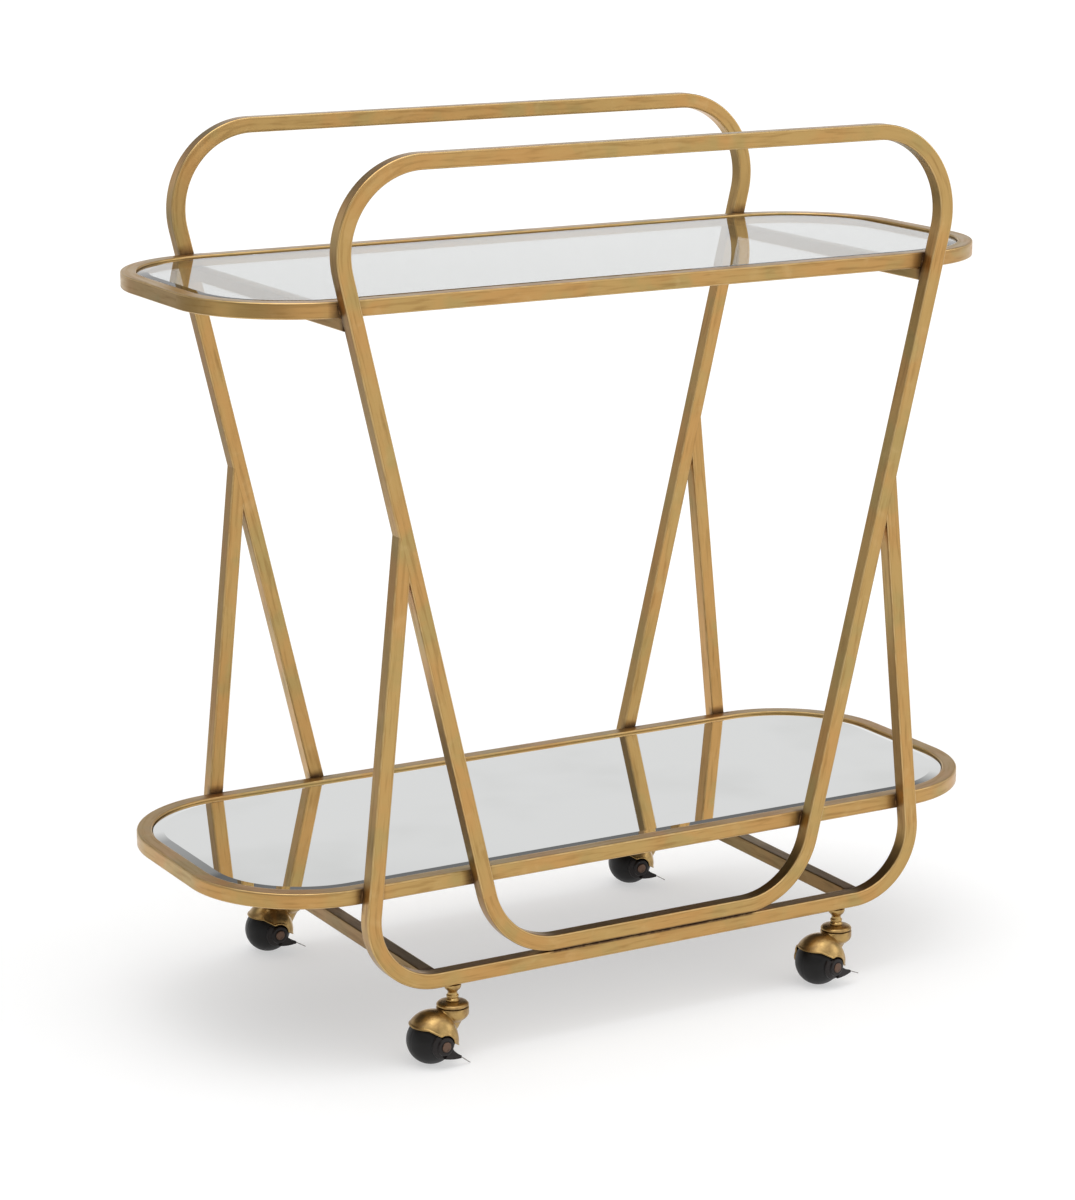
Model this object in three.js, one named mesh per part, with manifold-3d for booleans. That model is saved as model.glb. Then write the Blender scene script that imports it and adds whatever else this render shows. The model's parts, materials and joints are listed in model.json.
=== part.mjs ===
// A rolling bar cart: two bent square-tube side frames joined by cross bars, two rimmed shelves
// (clear glass above, bevelled mirror below) and four hooded ball casters with foot brakes.
// Millimetres, +Z up. The floor is z = 0, the front of the cart faces -Y and its length runs along X.
import * as THREE from "three";
import { mergeVertices } from "three/addons/utils/BufferGeometryUtils.js";
import Module from "manifold-3d";

// ---------------------------------------------------------------- driving sizes
const CART_HEIGHT = 908.05; // floor to the top of the handle bars
const SHELF_LENGTH = 908.05; // outside length of each shelf rim
const SHELF_DEPTH = 363.55; // outside depth of each shelf rim
const TUBE = 15.875; // side of the square tube
const TUBE_WALL = 1.2;
const TUBE_EDGE = 1.3; // rounding of the tube's long edges
const WELD_GAP = 0.3; // clearance kept between pieces that are welded or seated together

// Side frames. Half spreads are to the leg's centreline at the height named with them.
const HANDLE_LEG_SPREAD = 272.5;
const HANDLE_LEG_HEIGHT = 500;
const HANDLE_LEG_LEAN = 0.238; // outward run for each unit of height
const HANDLE_TOP_BEND = 84.4; // centreline radii of the bends
const HANDLE_FOOT_BEND = 81.5;
const BASE_LEG_SPREAD = 307.5;
const BASE_LEG_HEIGHT = 300;
const BASE_LEG_LEAN = -0.102;
const BASE_BEND = 70.9;
const HIDDEN_RUN = 6; // tube widths that the base ring runs on inside the loop before it is cut

// Shelves, by the height of the rim's underside.
const TOP_RIM_HEIGHT = 756;
const BOTTOM_RIM_HEIGHT = 174.6;
const RIM_CORNER = 126; // outside radius of the rim's corners
const GLASS_THICKNESS = 5;
const GLASS_DROP = 1.4; // glass top below the rim's top
const GLASS_CLEARANCE = 0.8; // gap round the edge of each insert
const GLASS_BEVEL_WIDTH = 11;
const GLASS_BEVEL_DEPTH = 1.1;
const LEDGE_WIDTH = 6;
const LEDGE_THICKNESS = 2;
const PAD_DIAMETER = 5;
const PAD_THICKNESS = 1.2;
const PAD_SPREAD_X = 270; // pads sit on the straight sides of the ledge
const BACKING_THICKNESS = 1.6;

// Cross bars.
const SHELF_BAR_HEIGHT = 12.7;
const BASE_BAR_SPREAD = 255.8;
const VENT_DIAMETER = 4; // drain hole in each closed ring of tube

// Casters. Heights build up from the floor: ball, hood, bearing, cap, stem, rail.
const BALL_DIAMETER = 49.2;
const CASTER_SPREAD = 232;
const CASTER_TRAIL = 27; // ball centre behind the stem
const AXLE_DIAMETER = 6;
const AXLE_HEAD_DIAMETER = 10.6;
const AXLE_HEAD_THICKNESS = 1.5;
const AXLE_STUB = 0.8; // axle end beyond the far lug
const RUNNING_GAP = 0.9; // hood to ball
const HOOD_WALL = 1.7;
const HOOD_SPARE = 0.4; // the dome is roomier than the ball by this much
const HOOD_SHIFT = 2.5; // the dome is centred this far towards the stem
const HOOD_LIFT = 2.6; // and this far above the ball's centre
const HOOD_BACK_SHIFT = 8; // a wider sphere, centred this far past the ball, flattens the stem side
const HOOD_BACK_WALL = 1.4;
const HOOD_RIM_SLOPE = 0.62; // the open edge climbs this much away from the stem
const HOOD_RIM_RISE = 7.6; // its height above the ball's centre, over the axle
const HOOD_LIP_RISE = 16.5; // and at the front lip, where it levels out
const COLLAR_DIAMETER = 33.2;
const COLLAR_DEPTH = 10.5;
const COLLAR_EDGE = 0.8;
const DOME_CLEARANCE = 0.2; // dome under the swivel cap's edge
const COLLAR_TAIL_DROP = 1; // the tail under the collar ends this far below the ball's centre
const BEARING_THICKNESS = 1.1;
const BEARING_INSET = 1.3;
const CAP_THICKNESS = 4.6;
const STEM_HEIGHT = 18.7; // cap to rail
const STEM_BELL_DIAMETER = 18;
const PIN_DIAMETER = 8;
const PIN_CLEARANCE = 0.35;
const PIN_CHAMFER = 0.8;
const PIN_DEPTH = 9; // into the hood's collar
const THREAD_LENGTH = 11.5; // up into the rail
const INSERT_WALL = 1.6;
const LUG_RADIUS = 8.2;
const LUG_THICKNESS = 2.4;
const BRAKE_GAP = 0.65; // brake shoe to ball
const BRAKE_SHOE_RADIUS = 13.5;
const BRAKE_SWEEP_GAP = 1.8; // hood's notch round the brake's hub
const BRAKE_TRIM_GAP = 1; // hood's edge to the shoe, anywhere in the brake's travel
const BRAKE_TRAVEL = [-7, 15]; // degrees down and up from level
const BRAKE_THICKNESS = 1.8;
const BRAKE_HUB_RADIUS = 9.4;
const BRAKE_HUB_RISE = 1; // hub proud of the shoe
const BRAKE_NOSE_THICKNESS = 3;
const BRAKE_NOSE_WIDTH = 2.8;
const BRAKE_NOSE = [-20.6, -12.4]; // lever tip from the axle: along the trail, and up
const BRAKE_TAB_END = [-32.4, -19.6];
const BRAKE_TAB_SUNK = 5; // length of the tab held in the nose
const BRAKE_TAB_WIDTH = 1.8;
const BRAKE_TAB_THICKNESS = 1;
const SOLID_OVERLAP = 1; // how far joined or cutting solids run into each other

// Turned outlines, as [radius share, height share] of the piece's own radius and height.
const STEM_OUTLINE = [
  [0.77, 0.016], [0.79, 0.118], [0.59, 0.209], [0.7, 0.257], [0.7, 0.353], [0.57, 0.406],
  [0.54, 0.513], [0.62, 0.615], [0.88, 0.733], [0.98, 0.861], [1, 1],
];
const CAP_OUTLINE = [[0.97, 0], [0.994, 0.15], [0.976, 0.43], [0.88, 0.74], [0.7, 0.91], [0.48, 1]];
const TAIL_OUTLINE = [[0.16, 0], [0.25, 0.25], [0.39, 0.48], [0.57, 0.78], [0.78, 0.91], [0.94, 1.04]];

// Where each caster stands, the way its ball points (degrees from +X, seen from above), and how far its
// brake lever is drawn lifted from level, in degrees.
const CASTER_CORNERS = [
  { name: "front_left", side: -1, row: -1, turn: 187, lift: -7 },
  { name: "front_right", side: 1, row: -1, turn: 193, lift: 8 },
  { name: "back_left", side: -1, row: 1, turn: 184, lift: 0 },
  { name: "back_right", side: 1, row: 1, turn: 178, lift: 0 },
];

// ---------------------------------------------------------------- sizes that follow
const ballRadius = BALL_DIAMETER / 2;
const hoodRadius = ballRadius + RUNNING_GAP + HOOD_WALL + HOOD_SPARE;
const collarReach = Math.max(CASTER_TRAIL - HOOD_SHIFT - COLLAR_DIAMETER / 2, 0);
const domeAtCollar = ballRadius + HOOD_LIFT + Math.sqrt(hoodRadius ** 2 - collarReach ** 2);
const bearingFloor = domeAtCollar + DOME_CLEARANCE;
const capFloor = bearingFloor + BEARING_THICKNESS;
const capTop = capFloor + CAP_THICKNESS;
const railFloor = capTop + STEM_HEIGHT;
const railTop = railFloor + TUBE;
const frameDepth = SHELF_DEPTH + 2 * (WELD_GAP + TUBE);
const frameCentre = frameDepth / 2 - TUBE / 2;
const loopFloor = railTop + WELD_GAP;
const barLength = frameDepth - 2 * TUBE - 2 * WELD_GAP;
const boreRadius = PIN_DIAMETER / 2 + PIN_CLEARANCE;
const brakeFloor = ballRadius + BRAKE_GAP;
const brakeFace = brakeFloor + BRAKE_THICKNESS;
const hubFace = brakeFace + BRAKE_HUB_RISE;

const ARC_STEPS = 5; // an arc takes twice this many chords
const ROUND_STEPS = 16;
const VENT_STEPS = 8;
const SPHERE_STEPS = 18;

const wasm = await Module();
wasm.setup();

// ---------------------------------------------------------------- solids
// A three.js geometry as a manifold solid, with the triangles that collapse on an axis left out.
function solid(geometry) {
  const loose = geometry.index ? geometry.toNonIndexed() : geometry;
  const bare = new THREE.BufferGeometry();
  bare.setAttribute("position", loose.getAttribute("position"));
  const merged = mergeVertices(bare, 1e-4);
  const kept = [];
  for (let i = 0; i < merged.index.count; i += 3) {
    const [a, b, c] = [0, 1, 2].map((k) => merged.index.getX(i + k));
    if (a !== b && b !== c && c !== a) kept.push(a, b, c);
  }
  return new wasm.Manifold(
    new wasm.Mesh({
      numProp: 3,
      vertProperties: merged.getAttribute("position").array,
      triVerts: new Uint32Array(kept),
    }),
  );
}

// A solid back as a three.js geometry.
function geometryOf(body) {
  const m = body.getMesh();
  const geometry = new THREE.BufferGeometry();
  geometry.setAttribute("position", new THREE.BufferAttribute(m.vertProperties, 3));
  geometry.setIndex(new THREE.BufferAttribute(m.triVerts, 1));
  geometry.computeVertexNormals();
  return geometry;
}

const MATERIALS = {
  frame: { color: 0xb18b4c, roughness: 0.34, metalness: 1 },
  glass: { color: 0xe3ecea, roughness: 0.04, metalness: 0, transparent: true, opacity: 0.35 },
  mirror: { color: 0xd9dcdd, roughness: 0.05, metalness: 1 },
  backing: { color: 0x4a4038, roughness: 0.9, metalness: 0 },
  pad: { color: 0xdfe3e0, roughness: 0.5, metalness: 0 },
  ball: { color: 0x1b1a1a, roughness: 0.45, metalness: 0 },
  brake: { color: 0x231f1d, roughness: 0.4, metalness: 0 },
  steel: { color: 0x6e6a66, roughness: 0.35, metalness: 1 },
  bronze: { color: 0x6b5446, roughness: 0.4, metalness: 1 },
};

const cart = new THREE.Group();
cart.name = "bar_cart";

function add(name, body, finish, parent = cart) {
  const mesh = new THREE.Mesh(geometryOf(body), new THREE.MeshStandardMaterial(MATERIALS[finish]));
  mesh.name = name;
  parent.add(mesh);
  return mesh;
}

function box(x, y, z, cx = 0, cy = 0, cz = 0) {
  return solid(new THREE.BoxGeometry(x, y, z).translate(cx, cy, cz));
}

// A turned solid about Z from [radius, height] points that start and end on the axis.
function turned(profile, steps = ROUND_STEPS) {
  const points = profile.map(([r, z]) => new THREE.Vector2(r, z));
  return solid(new THREE.LatheGeometry(points, steps).rotateX(Math.PI / 2));
}

function rod(radius, from, to, steps = ROUND_STEPS) {
  return turned([[0, from], [radius, from], [radius, to], [0, to]], steps);
}

function ball(radius, x, y, z) {
  const sphere = new THREE.SphereGeometry(radius, SPHERE_STEPS, (SPHERE_STEPS * 2) / 3);
  return solid(sphere.rotateX(Math.PI / 2).translate(x, y, z));
}

// ---------------------------------------------------------------- outlines of bent tube
// Corners are { x, y, bend } in order, anticlockwise. Moving an outline out by a distance moves
// every side by it and lets each bend grow by it.
function movedOut(corners, distance) {
  return corners.map((corner, i) => {
    const before = corners.at(i - 1);
    const after = corners[(i + 1) % corners.length];
    const inward = new THREE.Vector2(corner.x - before.x, corner.y - before.y).normalize();
    const onward = new THREE.Vector2(after.x - corner.x, after.y - corner.y).normalize();
    const half = 1 + inward.dot(onward);
    const nx = (inward.y + onward.y) / half;
    const ny = -(inward.x + onward.x) / half;
    return { x: corner.x + nx * distance, y: corner.y + ny * distance, bend: corner.bend + distance };
  });
}

function tracedPath(corners, path) {
  corners.forEach((corner, i) => {
    const before = corners.at(i - 1);
    const after = corners[(i + 1) % corners.length];
    const back = new THREE.Vector2(before.x - corner.x, before.y - corner.y).normalize();
    const on = new THREE.Vector2(after.x - corner.x, after.y - corner.y).normalize();
    const halfAngle = back.angleTo(on) / 2;
    const reach = corner.bend / Math.tan(halfAngle);
    const middle = back.clone().add(on).normalize().multiplyScalar(corner.bend / Math.sin(halfAngle));
    const cx = corner.x + middle.x;
    const cy = corner.y + middle.y;
    const start = Math.atan2(corner.y + back.y * reach - cy, corner.x + back.x * reach - cx);
    const end = Math.atan2(corner.y + on.y * reach - cy, corner.x + on.x * reach - cx);
    path.absarc(cx, cy, corner.bend, start, end, false);
  });
  path.closePath();
  return path;
}

// A plate of the outline, from 0 to depth along +Z, with its long edges rounded.
function plate(corners, depth, edge = 0, holes = []) {
  const shape = tracedPath(corners, new THREE.Shape());
  holes.forEach((hole) => shape.holes.push(tracedPath(hole, new THREE.Path())));
  const geometry = new THREE.ExtrudeGeometry(shape, {
    depth: depth - 2 * edge,
    bevelEnabled: edge > 0,
    bevelThickness: edge,
    bevelSize: edge,
    bevelOffset: -edge,
    bevelSegments: 1,
    curveSegments: ARC_STEPS,
  });
  return geometry.translate(0, 0, edge);
}

// A ring of square tube whose centreline is the outline, lying from z = 0 up, hollow inside.
function tubeRing(corners) {
  const inner = movedOut(corners, -TUBE / 2);
  const outer = movedOut(corners, TUBE / 2);
  const coreInner = movedOut(corners, TUBE_WALL - TUBE / 2);
  const coreOuter = movedOut(corners, TUBE / 2 - TUBE_WALL);
  const skin = plate(outer, TUBE, TUBE_EDGE, [inner]);
  const core = plate(coreOuter, TUBE - 2 * TUBE_WALL, 0, [coreInner]).translate(0, 0, TUBE_WALL);
  return solid(skin).subtract(solid(core));
}

// Stands a piece drawn in XY up in the XZ plane, centred on y = 0.
function stoodUp(body) {
  return body.translate([0, 0, -TUBE / 2]).rotate([90, 0, 0]);
}

// A straight hollow bar along Y, centred, with open ends.
function crossBar(width, height, length) {
  const outer = box(width, length, height);
  const inner = box(width - 2 * TUBE_WALL, length + 2 * SOLID_OVERLAP, height - 2 * TUBE_WALL);
  return outer.subtract(inner);
}

// ---------------------------------------------------------------- side frames
const handleLegX = (z) => HANDLE_LEG_SPREAD + HANDLE_LEG_LEAN * (z - HANDLE_LEG_HEIGHT);
const baseLegX = (z) => BASE_LEG_SPREAD + BASE_LEG_LEAN * (z - BASE_LEG_HEIGHT);

function fourCorners(spread, low, high, lowBend, highBend) {
  return [
    { x: -spread(low), y: low, bend: lowBend },
    { x: spread(low), y: low, bend: lowBend },
    { x: spread(high), y: high, bend: highBend },
    { x: -spread(high), y: high, bend: highBend },
  ];
}

const handleLine = fourCorners(
  handleLegX,
  loopFloor + TUBE / 2,
  CART_HEIGHT - TUBE / 2,
  HANDLE_FOOT_BEND,
  HANDLE_TOP_BEND,
);

function handleLoop() {
  const vent = rod(VENT_DIAMETER / 2, loopFloor - SOLID_OVERLAP, loopFloor + TUBE / 2, VENT_STEPS);
  return stoodUp(tubeRing(handleLine)).subtract(vent);
}

// The base frame is drawn as a closed ring whose top runs inside the handle loop, and is then
// cut back to the loop's outside, which leaves a U with its legs mitred against the handle legs.
function baseFrame() {
  const meeting = (BASE_LEG_SPREAD - BASE_LEG_LEAN * BASE_LEG_HEIGHT
    - HANDLE_LEG_SPREAD + HANDLE_LEG_LEAN * HANDLE_LEG_HEIGHT) / (HANDLE_LEG_LEAN - BASE_LEG_LEAN);
  const hiddenTop = meeting + HIDDEN_RUN * TUBE;
  const ring = tubeRing(fourCorners(baseLegX, railFloor + TUBE / 2, hiddenTop, BASE_BEND, TUBE));
  const loopBlank = plate(movedOut(handleLine, TUBE / 2 + WELD_GAP), TUBE + 2 * SOLID_OVERLAP)
    .translate(0, 0, -SOLID_OVERLAP);
  const stemHole = (side) =>
    rod(PIN_DIAMETER / 2 + INSERT_WALL + WELD_GAP, railFloor - SOLID_OVERLAP, railFloor + TUBE / 2)
      .translate([side * CASTER_SPREAD, 0, 0]);
  return stoodUp(ring.subtract(solid(loopBlank))).subtract(stemHole(-1)).subtract(stemHole(1));
}

for (const [row, y] of [["front", -frameCentre], ["back", frameCentre]]) {
  add(`${row}_handle_loop`, handleLoop(), "frame").position.y = y;
  add(`${row}_base_frame`, baseFrame(), "frame").position.y = y;
}

const shelfBarZ = TOP_RIM_HEIGHT - WELD_GAP - SHELF_BAR_HEIGHT / 2;
for (const [hand, side] of [["left", -1], ["right", 1]]) {
  const baseBar = add(`base_cross_bar_${hand}`, crossBar(TUBE, TUBE, barLength), "frame");
  baseBar.position.set(side * BASE_BAR_SPREAD, 0, railFloor + TUBE / 2);
  const shelfBar = add(`shelf_cross_bar_${hand}`, crossBar(TUBE, SHELF_BAR_HEIGHT, barLength), "frame");
  shelfBar.position.set(side * handleLegX(shelfBarZ), 0, shelfBarZ);
}

// ---------------------------------------------------------------- shelves
function shelfOutline(inset) {
  const x = SHELF_LENGTH / 2;
  const y = SHELF_DEPTH / 2;
  const outside = [[-x, -y], [x, -y], [x, y], [-x, y]]
    .map(([cornerX, cornerY]) => ({ x: cornerX, y: cornerY, bend: RIM_CORNER }));
  return movedOut(outside, -inset);
}

function shelfRim() {
  const vent = rod(VENT_DIAMETER / 2, -SOLID_OVERLAP, TUBE / 2, VENT_STEPS)
    .translate([0, (SHELF_DEPTH - TUBE) / 2, 0]);
  return tubeRing(shelfOutline(TUBE / 2)).subtract(vent);
}

function shelfLedge() {
  const outer = shelfOutline(TUBE + WELD_GAP);
  const inner = shelfOutline(TUBE + WELD_GAP + LEDGE_WIDTH);
  return solid(plate(outer, LEDGE_THICKNESS, 0, [inner]));
}

// A sheet with a wide shallow bevel round its top edge and a square underside.
function bevelledSheet(thickness) {
  const outline = shelfOutline(TUBE + GLASS_CLEARANCE);
  const blank = tracedPath(outline, new THREE.Shape());
  const doubled = new THREE.ExtrudeGeometry(blank, {
    depth: 2 * (thickness - GLASS_BEVEL_DEPTH),
    bevelThickness: GLASS_BEVEL_DEPTH,
    bevelSize: GLASS_BEVEL_WIDTH,
    bevelOffset: -GLASS_BEVEL_WIDTH,
    bevelSegments: 1,
    curveSegments: ARC_STEPS,
  }).translate(0, 0, GLASS_BEVEL_DEPTH - thickness);
  const upper = box(2 * SHELF_LENGTH, 2 * SHELF_DEPTH, 2 * thickness, 0, 0, thickness);
  return solid(doubled).intersect(upper);
}

function shelf(level, rimFloor, insertName, insertFinish, backed) {
  const rimTop = rimFloor + TUBE;
  const insertFloor = rimTop - GLASS_DROP - GLASS_THICKNESS;
  const backing = backed ? BACKING_THICKNESS + WELD_GAP : 0;
  const padTop = insertFloor - backing - WELD_GAP;
  const padFloor = padTop - PAD_THICKNESS;
  add(`${level}_shelf_rim`, shelfRim(), "frame").position.z = rimFloor;
  add(`${level}_shelf_ledge`, shelfLedge(), "frame").position.z = padFloor - WELD_GAP - LEDGE_THICKNESS;
  add(insertName, bevelledSheet(GLASS_THICKNESS), insertFinish).position.z = insertFloor;
  if (backed) {
    const sheet = solid(plate(shelfOutline(TUBE + 2 * GLASS_CLEARANCE), BACKING_THICKNESS));
    add(`${insertName}_backing`, sheet, "backing").position.z = insertFloor - backing;
  }
  const padY = SHELF_DEPTH / 2 - TUBE - WELD_GAP - LEDGE_WIDTH / 2;
  for (const [row, y] of [["front", -padY], ["back", padY]])
    for (const [hand, x] of [["left", -PAD_SPREAD_X], ["right", PAD_SPREAD_X]]) {
      const pad = add(`${level}_pad_${row}_${hand}`, rod(PAD_DIAMETER / 2, 0, PAD_THICKNESS), "pad");
      pad.position.set(x, y, padFloor);
    }
}

shelf("top", TOP_RIM_HEIGHT, "top_glass", "glass", false);
shelf("bottom", BOTTOM_RIM_HEIGHT, "bottom_mirror", "mirror", true);

// ---------------------------------------------------------------- casters
// Each caster is drawn with its stem on the Z axis and its ball out along +X. The axle runs along
// Y and the brake is on the +Y side.
const onAxle = (body) => body.rotate([-90, 0, 0]).translate([CASTER_TRAIL, 0, ballRadius]);

function threadInsert() {
  const sleeve = rod(PIN_DIAMETER / 2 + INSERT_WALL, railFloor, railFloor + THREAD_LENGTH);
  const bore = rod(boreRadius, railFloor - SOLID_OVERLAP, railFloor + THREAD_LENGTH + SOLID_OVERLAP);
  return sleeve.subtract(bore);
}

// An outline scaled to a radius and to a height span.
const scaled = (outline, radius, from, to) => outline.map(([r, z]) => [r * radius, from + z * (to - from)]);

function stem() {
  const pin = PIN_DIAMETER / 2;
  const foot = bearingFloor - PIN_DEPTH;
  const top = railFloor - WELD_GAP;
  return turned([
    [0, foot],
    [pin - PIN_CHAMFER, foot],
    [pin, foot + PIN_CHAMFER],
    [pin, capTop + WELD_GAP],
    ...scaled(STEM_OUTLINE, STEM_BELL_DIAMETER / 2, capTop, top),
    [pin, top],
    [pin, top + THREAD_LENGTH],
    [0, top + THREAD_LENGTH],
  ]);
}

function swivelCap() {
  const outline = scaled(CAP_OUTLINE, COLLAR_DIAMETER / 2, capFloor, capTop);
  const cap = turned([[0, capFloor], ...outline, [0, capTop]]);
  return cap.subtract(rod(boreRadius, capFloor - SOLID_OVERLAP, capTop + SOLID_OVERLAP));
}

function swivelBearing() {
  const race = rod(COLLAR_DIAMETER / 2 - BEARING_INSET, bearingFloor + WELD_GAP, capFloor - WELD_GAP);
  return race.subtract(rod(boreRadius, bearingFloor - SOLID_OVERLAP, capFloor + SOLID_OVERLAP));
}

// The tapering collar under the swivel bearing, whose tail runs down behind the ball.
function collar() {
  const r = COLLAR_DIAMETER / 2;
  const tail = ballRadius - COLLAR_TAIL_DROP;
  const low = bearingFloor - COLLAR_DEPTH;
  return turned([
    [0, tail],
    ...scaled(TAIL_OUTLINE, r, tail, low),
    [r, low + COLLAR_DEPTH / 3],
    [r, bearingFloor - COLLAR_EDGE],
    [r - COLLAR_EDGE, bearingFloor],
    [0, bearingFloor],
  ]);
}

// The hood's dome, thinned by an inset: two spheres' shared space.
function dome(inset) {
  const back = ballRadius + RUNNING_GAP + HOOD_BACK_WALL + HOOD_BACK_SHIFT;
  const front = ball(hoodRadius - inset, CASTER_TRAIL - HOOD_SHIFT, 0, ballRadius + HOOD_LIFT);
  return front.intersect(ball(back - inset, CASTER_TRAIL + HOOD_BACK_SHIFT, 0, ballRadius));
}

// Everything under the hood's open edge, which slopes up from the stem and levels at the lip.
function underHood() {
  const reach = 3 * BALL_DIAMETER;
  const slope = THREE.MathUtils.radToDeg(Math.atan(HOOD_RIM_SLOPE));
  const sloped = box(reach, reach, reach, 0, 0, -reach / 2)
    .rotate([0, -slope, 0])
    .translate([CASTER_TRAIL, 0, ballRadius + HOOD_RIM_RISE]);
  return sloped.intersect(box(reach, reach, reach, CASTER_TRAIL, 0, ballRadius + HOOD_LIP_RISE - reach / 2));
}

// The flat lug that holds the axle on the side away from the brake.
function farLug() {
  const ear = rod(LUG_RADIUS, 0, LUG_THICKNESS);
  const root = box(2 * LUG_RADIUS, 2 * LUG_RADIUS, LUG_THICKNESS, 0, -LUG_RADIUS, LUG_THICKNESS / 2);
  return onAxle(ear.add(root).translate([0, 0, -ballRadius - RUNNING_GAP - LUG_THICKNESS]));
}

// The hood is a thin dome over the ball, run into the collar and notched round the brake's hub.
function hood() {
  const notch = rod(BRAKE_HUB_RADIUS + BRAKE_SWEEP_GAP, ballRadius / 2, 2 * ballRadius);
  const room = dome(HOOD_WALL).add(ball(ballRadius + RUNNING_GAP, CASTER_TRAIL, 0, ballRadius));
  return dome(0)
    .subtract(underHood())
    .subtract(onAxle(notch))
    .add(collar())
    .add(farLug())
    .subtract(room)
    .subtract(onAxle(rod(AXLE_DIAMETER / 2 + WELD_GAP, -2 * ballRadius, 0)))
    .subtract(rod(boreRadius, bearingFloor - PIN_DEPTH - SOLID_OVERLAP, bearingFloor + SOLID_OVERLAP));
}

// The axle runs from a stub past the far lug to a flat head on the brake's hub.
function axle() {
  const r = AXLE_DIAMETER / 2;
  const far = -(ballRadius + RUNNING_GAP + LUG_THICKNESS + AXLE_STUB);
  const seat = hubFace + WELD_GAP;
  const head = AXLE_HEAD_DIAMETER / 2;
  return onAxle(turned([
    [0, far],
    [r, far],
    [r, seat],
    [head, seat],
    [head, seat + AXLE_HEAD_THICKNESS / 2],
    [head - AXLE_HEAD_THICKNESS / 2, seat + AXLE_HEAD_THICKNESS],
    [0, seat + AXLE_HEAD_THICKNESS],
  ]));
}

function ballWheel() {
  const bore = onAxle(rod(AXLE_DIAMETER / 2 + PIN_CLEARANCE, -2 * ballRadius, 2 * ballRadius));
  return ball(ballRadius, CASTER_TRAIL, 0, ballRadius).subtract(bore);
}

// The brake's flat nose, from the shoe down to a blunt tip. Its X runs along the trail, its Y down.
function brakeNose() {
  const r = BRAKE_SHOE_RADIUS;
  const [tipX, tipZ] = BRAKE_NOSE;
  const half = BRAKE_NOSE_WIDTH / 2;
  const nose = new THREE.Shape();
  nose.moveTo(0, r - SOLID_OVERLAP);
  nose.quadraticCurveTo(tipX / 2, r + half, tipX, half - tipZ);
  nose.lineTo(tipX, -half - tipZ);
  nose.quadraticCurveTo(-0.9 * r, 0.55 * r, -0.6 * r, 0.15 * r);
  nose.closePath();
  return new THREE.ExtrudeGeometry(nose, {
    depth: BRAKE_NOSE_THICKNESS,
    bevelEnabled: false,
    curveSegments: ARC_STEPS,
  }).translate(0, 0, brakeFace - BRAKE_NOSE_THICKNESS);
}

// Turns a brake piece about the axle, so that its nose lifts by so many degrees.
function lifted(piece, degrees) {
  return piece.translate([-CASTER_TRAIL, 0, -ballRadius])
    .rotate([0, degrees, 0])
    .translate([CASTER_TRAIL, 0, ballRadius]);
}

// What the hood's edge would meet round the brake's hub, anywhere in the brake's travel.
function brakeTrim() {
  const outer = rod(BRAKE_SHOE_RADIUS + BRAKE_SWEEP_GAP, 0, 2 * ballRadius);
  const inner = rod(BRAKE_HUB_RADIUS, -SOLID_OVERLAP, 3 * ballRadius);
  const [down, up] = BRAKE_TRAVEL;
  const below = underHood().translate([0, 0, -BRAKE_TRIM_GAP]);
  return onAxle(outer.subtract(inner)).subtract(lifted(below, -up).intersect(lifted(below, -down)));
}

// The brake hugs the ball as a thin dished shoe with a hub, and its nose holds the foot tab. The
// nose stands outside the hood's wall, so that the lever can lift past it.
function brakeLever() {
  const shoe = ball(brakeFace, 0, 0, 0).intersect(rod(BRAKE_SHOE_RADIUS, 0, 2 * ballRadius));
  return onAxle(
    shoe.add(rod(BRAKE_HUB_RADIUS, brakeFloor - SOLID_OVERLAP, hubFace))
      .add(solid(brakeNose()))
      .subtract(ball(brakeFloor, 0, 0, 0))
      .subtract(rod(AXLE_DIAMETER / 2 + PIN_CLEARANCE, 0, 2 * ballRadius))
      .subtract(brakeTabBlank(WELD_GAP)),
  ).subtract(brakeTrim());
}

// The foot tab before it is placed, grown by a clearance for its slot.
function brakeTabBlank(grow) {
  const [x0, z0] = BRAKE_NOSE;
  const [x1, z1] = BRAKE_TAB_END;
  const long = Math.hypot(x1 - x0, z1 - z0) + BRAKE_TAB_SUNK;
  const droop = THREE.MathUtils.radToDeg(Math.atan2(z0 - z1, x0 - x1));
  const level = brakeFace - BRAKE_NOSE_THICKNESS / 2;
  return box(long + 2 * grow, BRAKE_TAB_THICKNESS + 2 * grow, BRAKE_TAB_WIDTH + 2 * grow, long / 2, 0, 0)
    .rotate([0, 0, -droop])
    .translate([x1, -z1, level]);
}

for (const { name, side, row, turn, lift } of CASTER_CORNERS) {
  const place = new THREE.Group();
  place.position.set(side * CASTER_SPREAD, row * frameCentre, 0);
  place.rotation.z = THREE.MathUtils.degToRad(turn);
  cart.add(place);
  add(`thread_insert_${name}`, threadInsert(), "steel", place);
  add(`caster_stem_${name}`, stem(), "frame", place);
  add(`swivel_cap_${name}`, swivelCap(), "frame", place);
  add(`swivel_bearing_${name}`, swivelBearing(), "steel", place);
  add(`caster_hood_${name}`, hood(), "frame", place);
  add(`ball_axle_${name}`, axle(), "bronze", place);
  add(`ball_wheel_${name}`, ballWheel(), "ball", place);
  add(`brake_lever_${name}`, lifted(brakeLever(), lift), "brake", place);
  add(`brake_tab_${name}`, lifted(onAxle(brakeTabBlank(0)), lift), "steel", place);
}

export default cart;
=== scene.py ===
"""Bar cart on wheels: its visible meshes and finishes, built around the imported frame.

The frame and shelves are bent square tube in brushed antique gold, the inserts are bevelled glass
and mirror, and each caster is a hooded ball with a foot brake. Metres throughout, +Z up.
"""

import json
import logging
import math
from collections.abc import Callable, Iterable, Sequence
from dataclasses import dataclass, field
from enum import Enum
from functools import cache
from itertools import product

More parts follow.
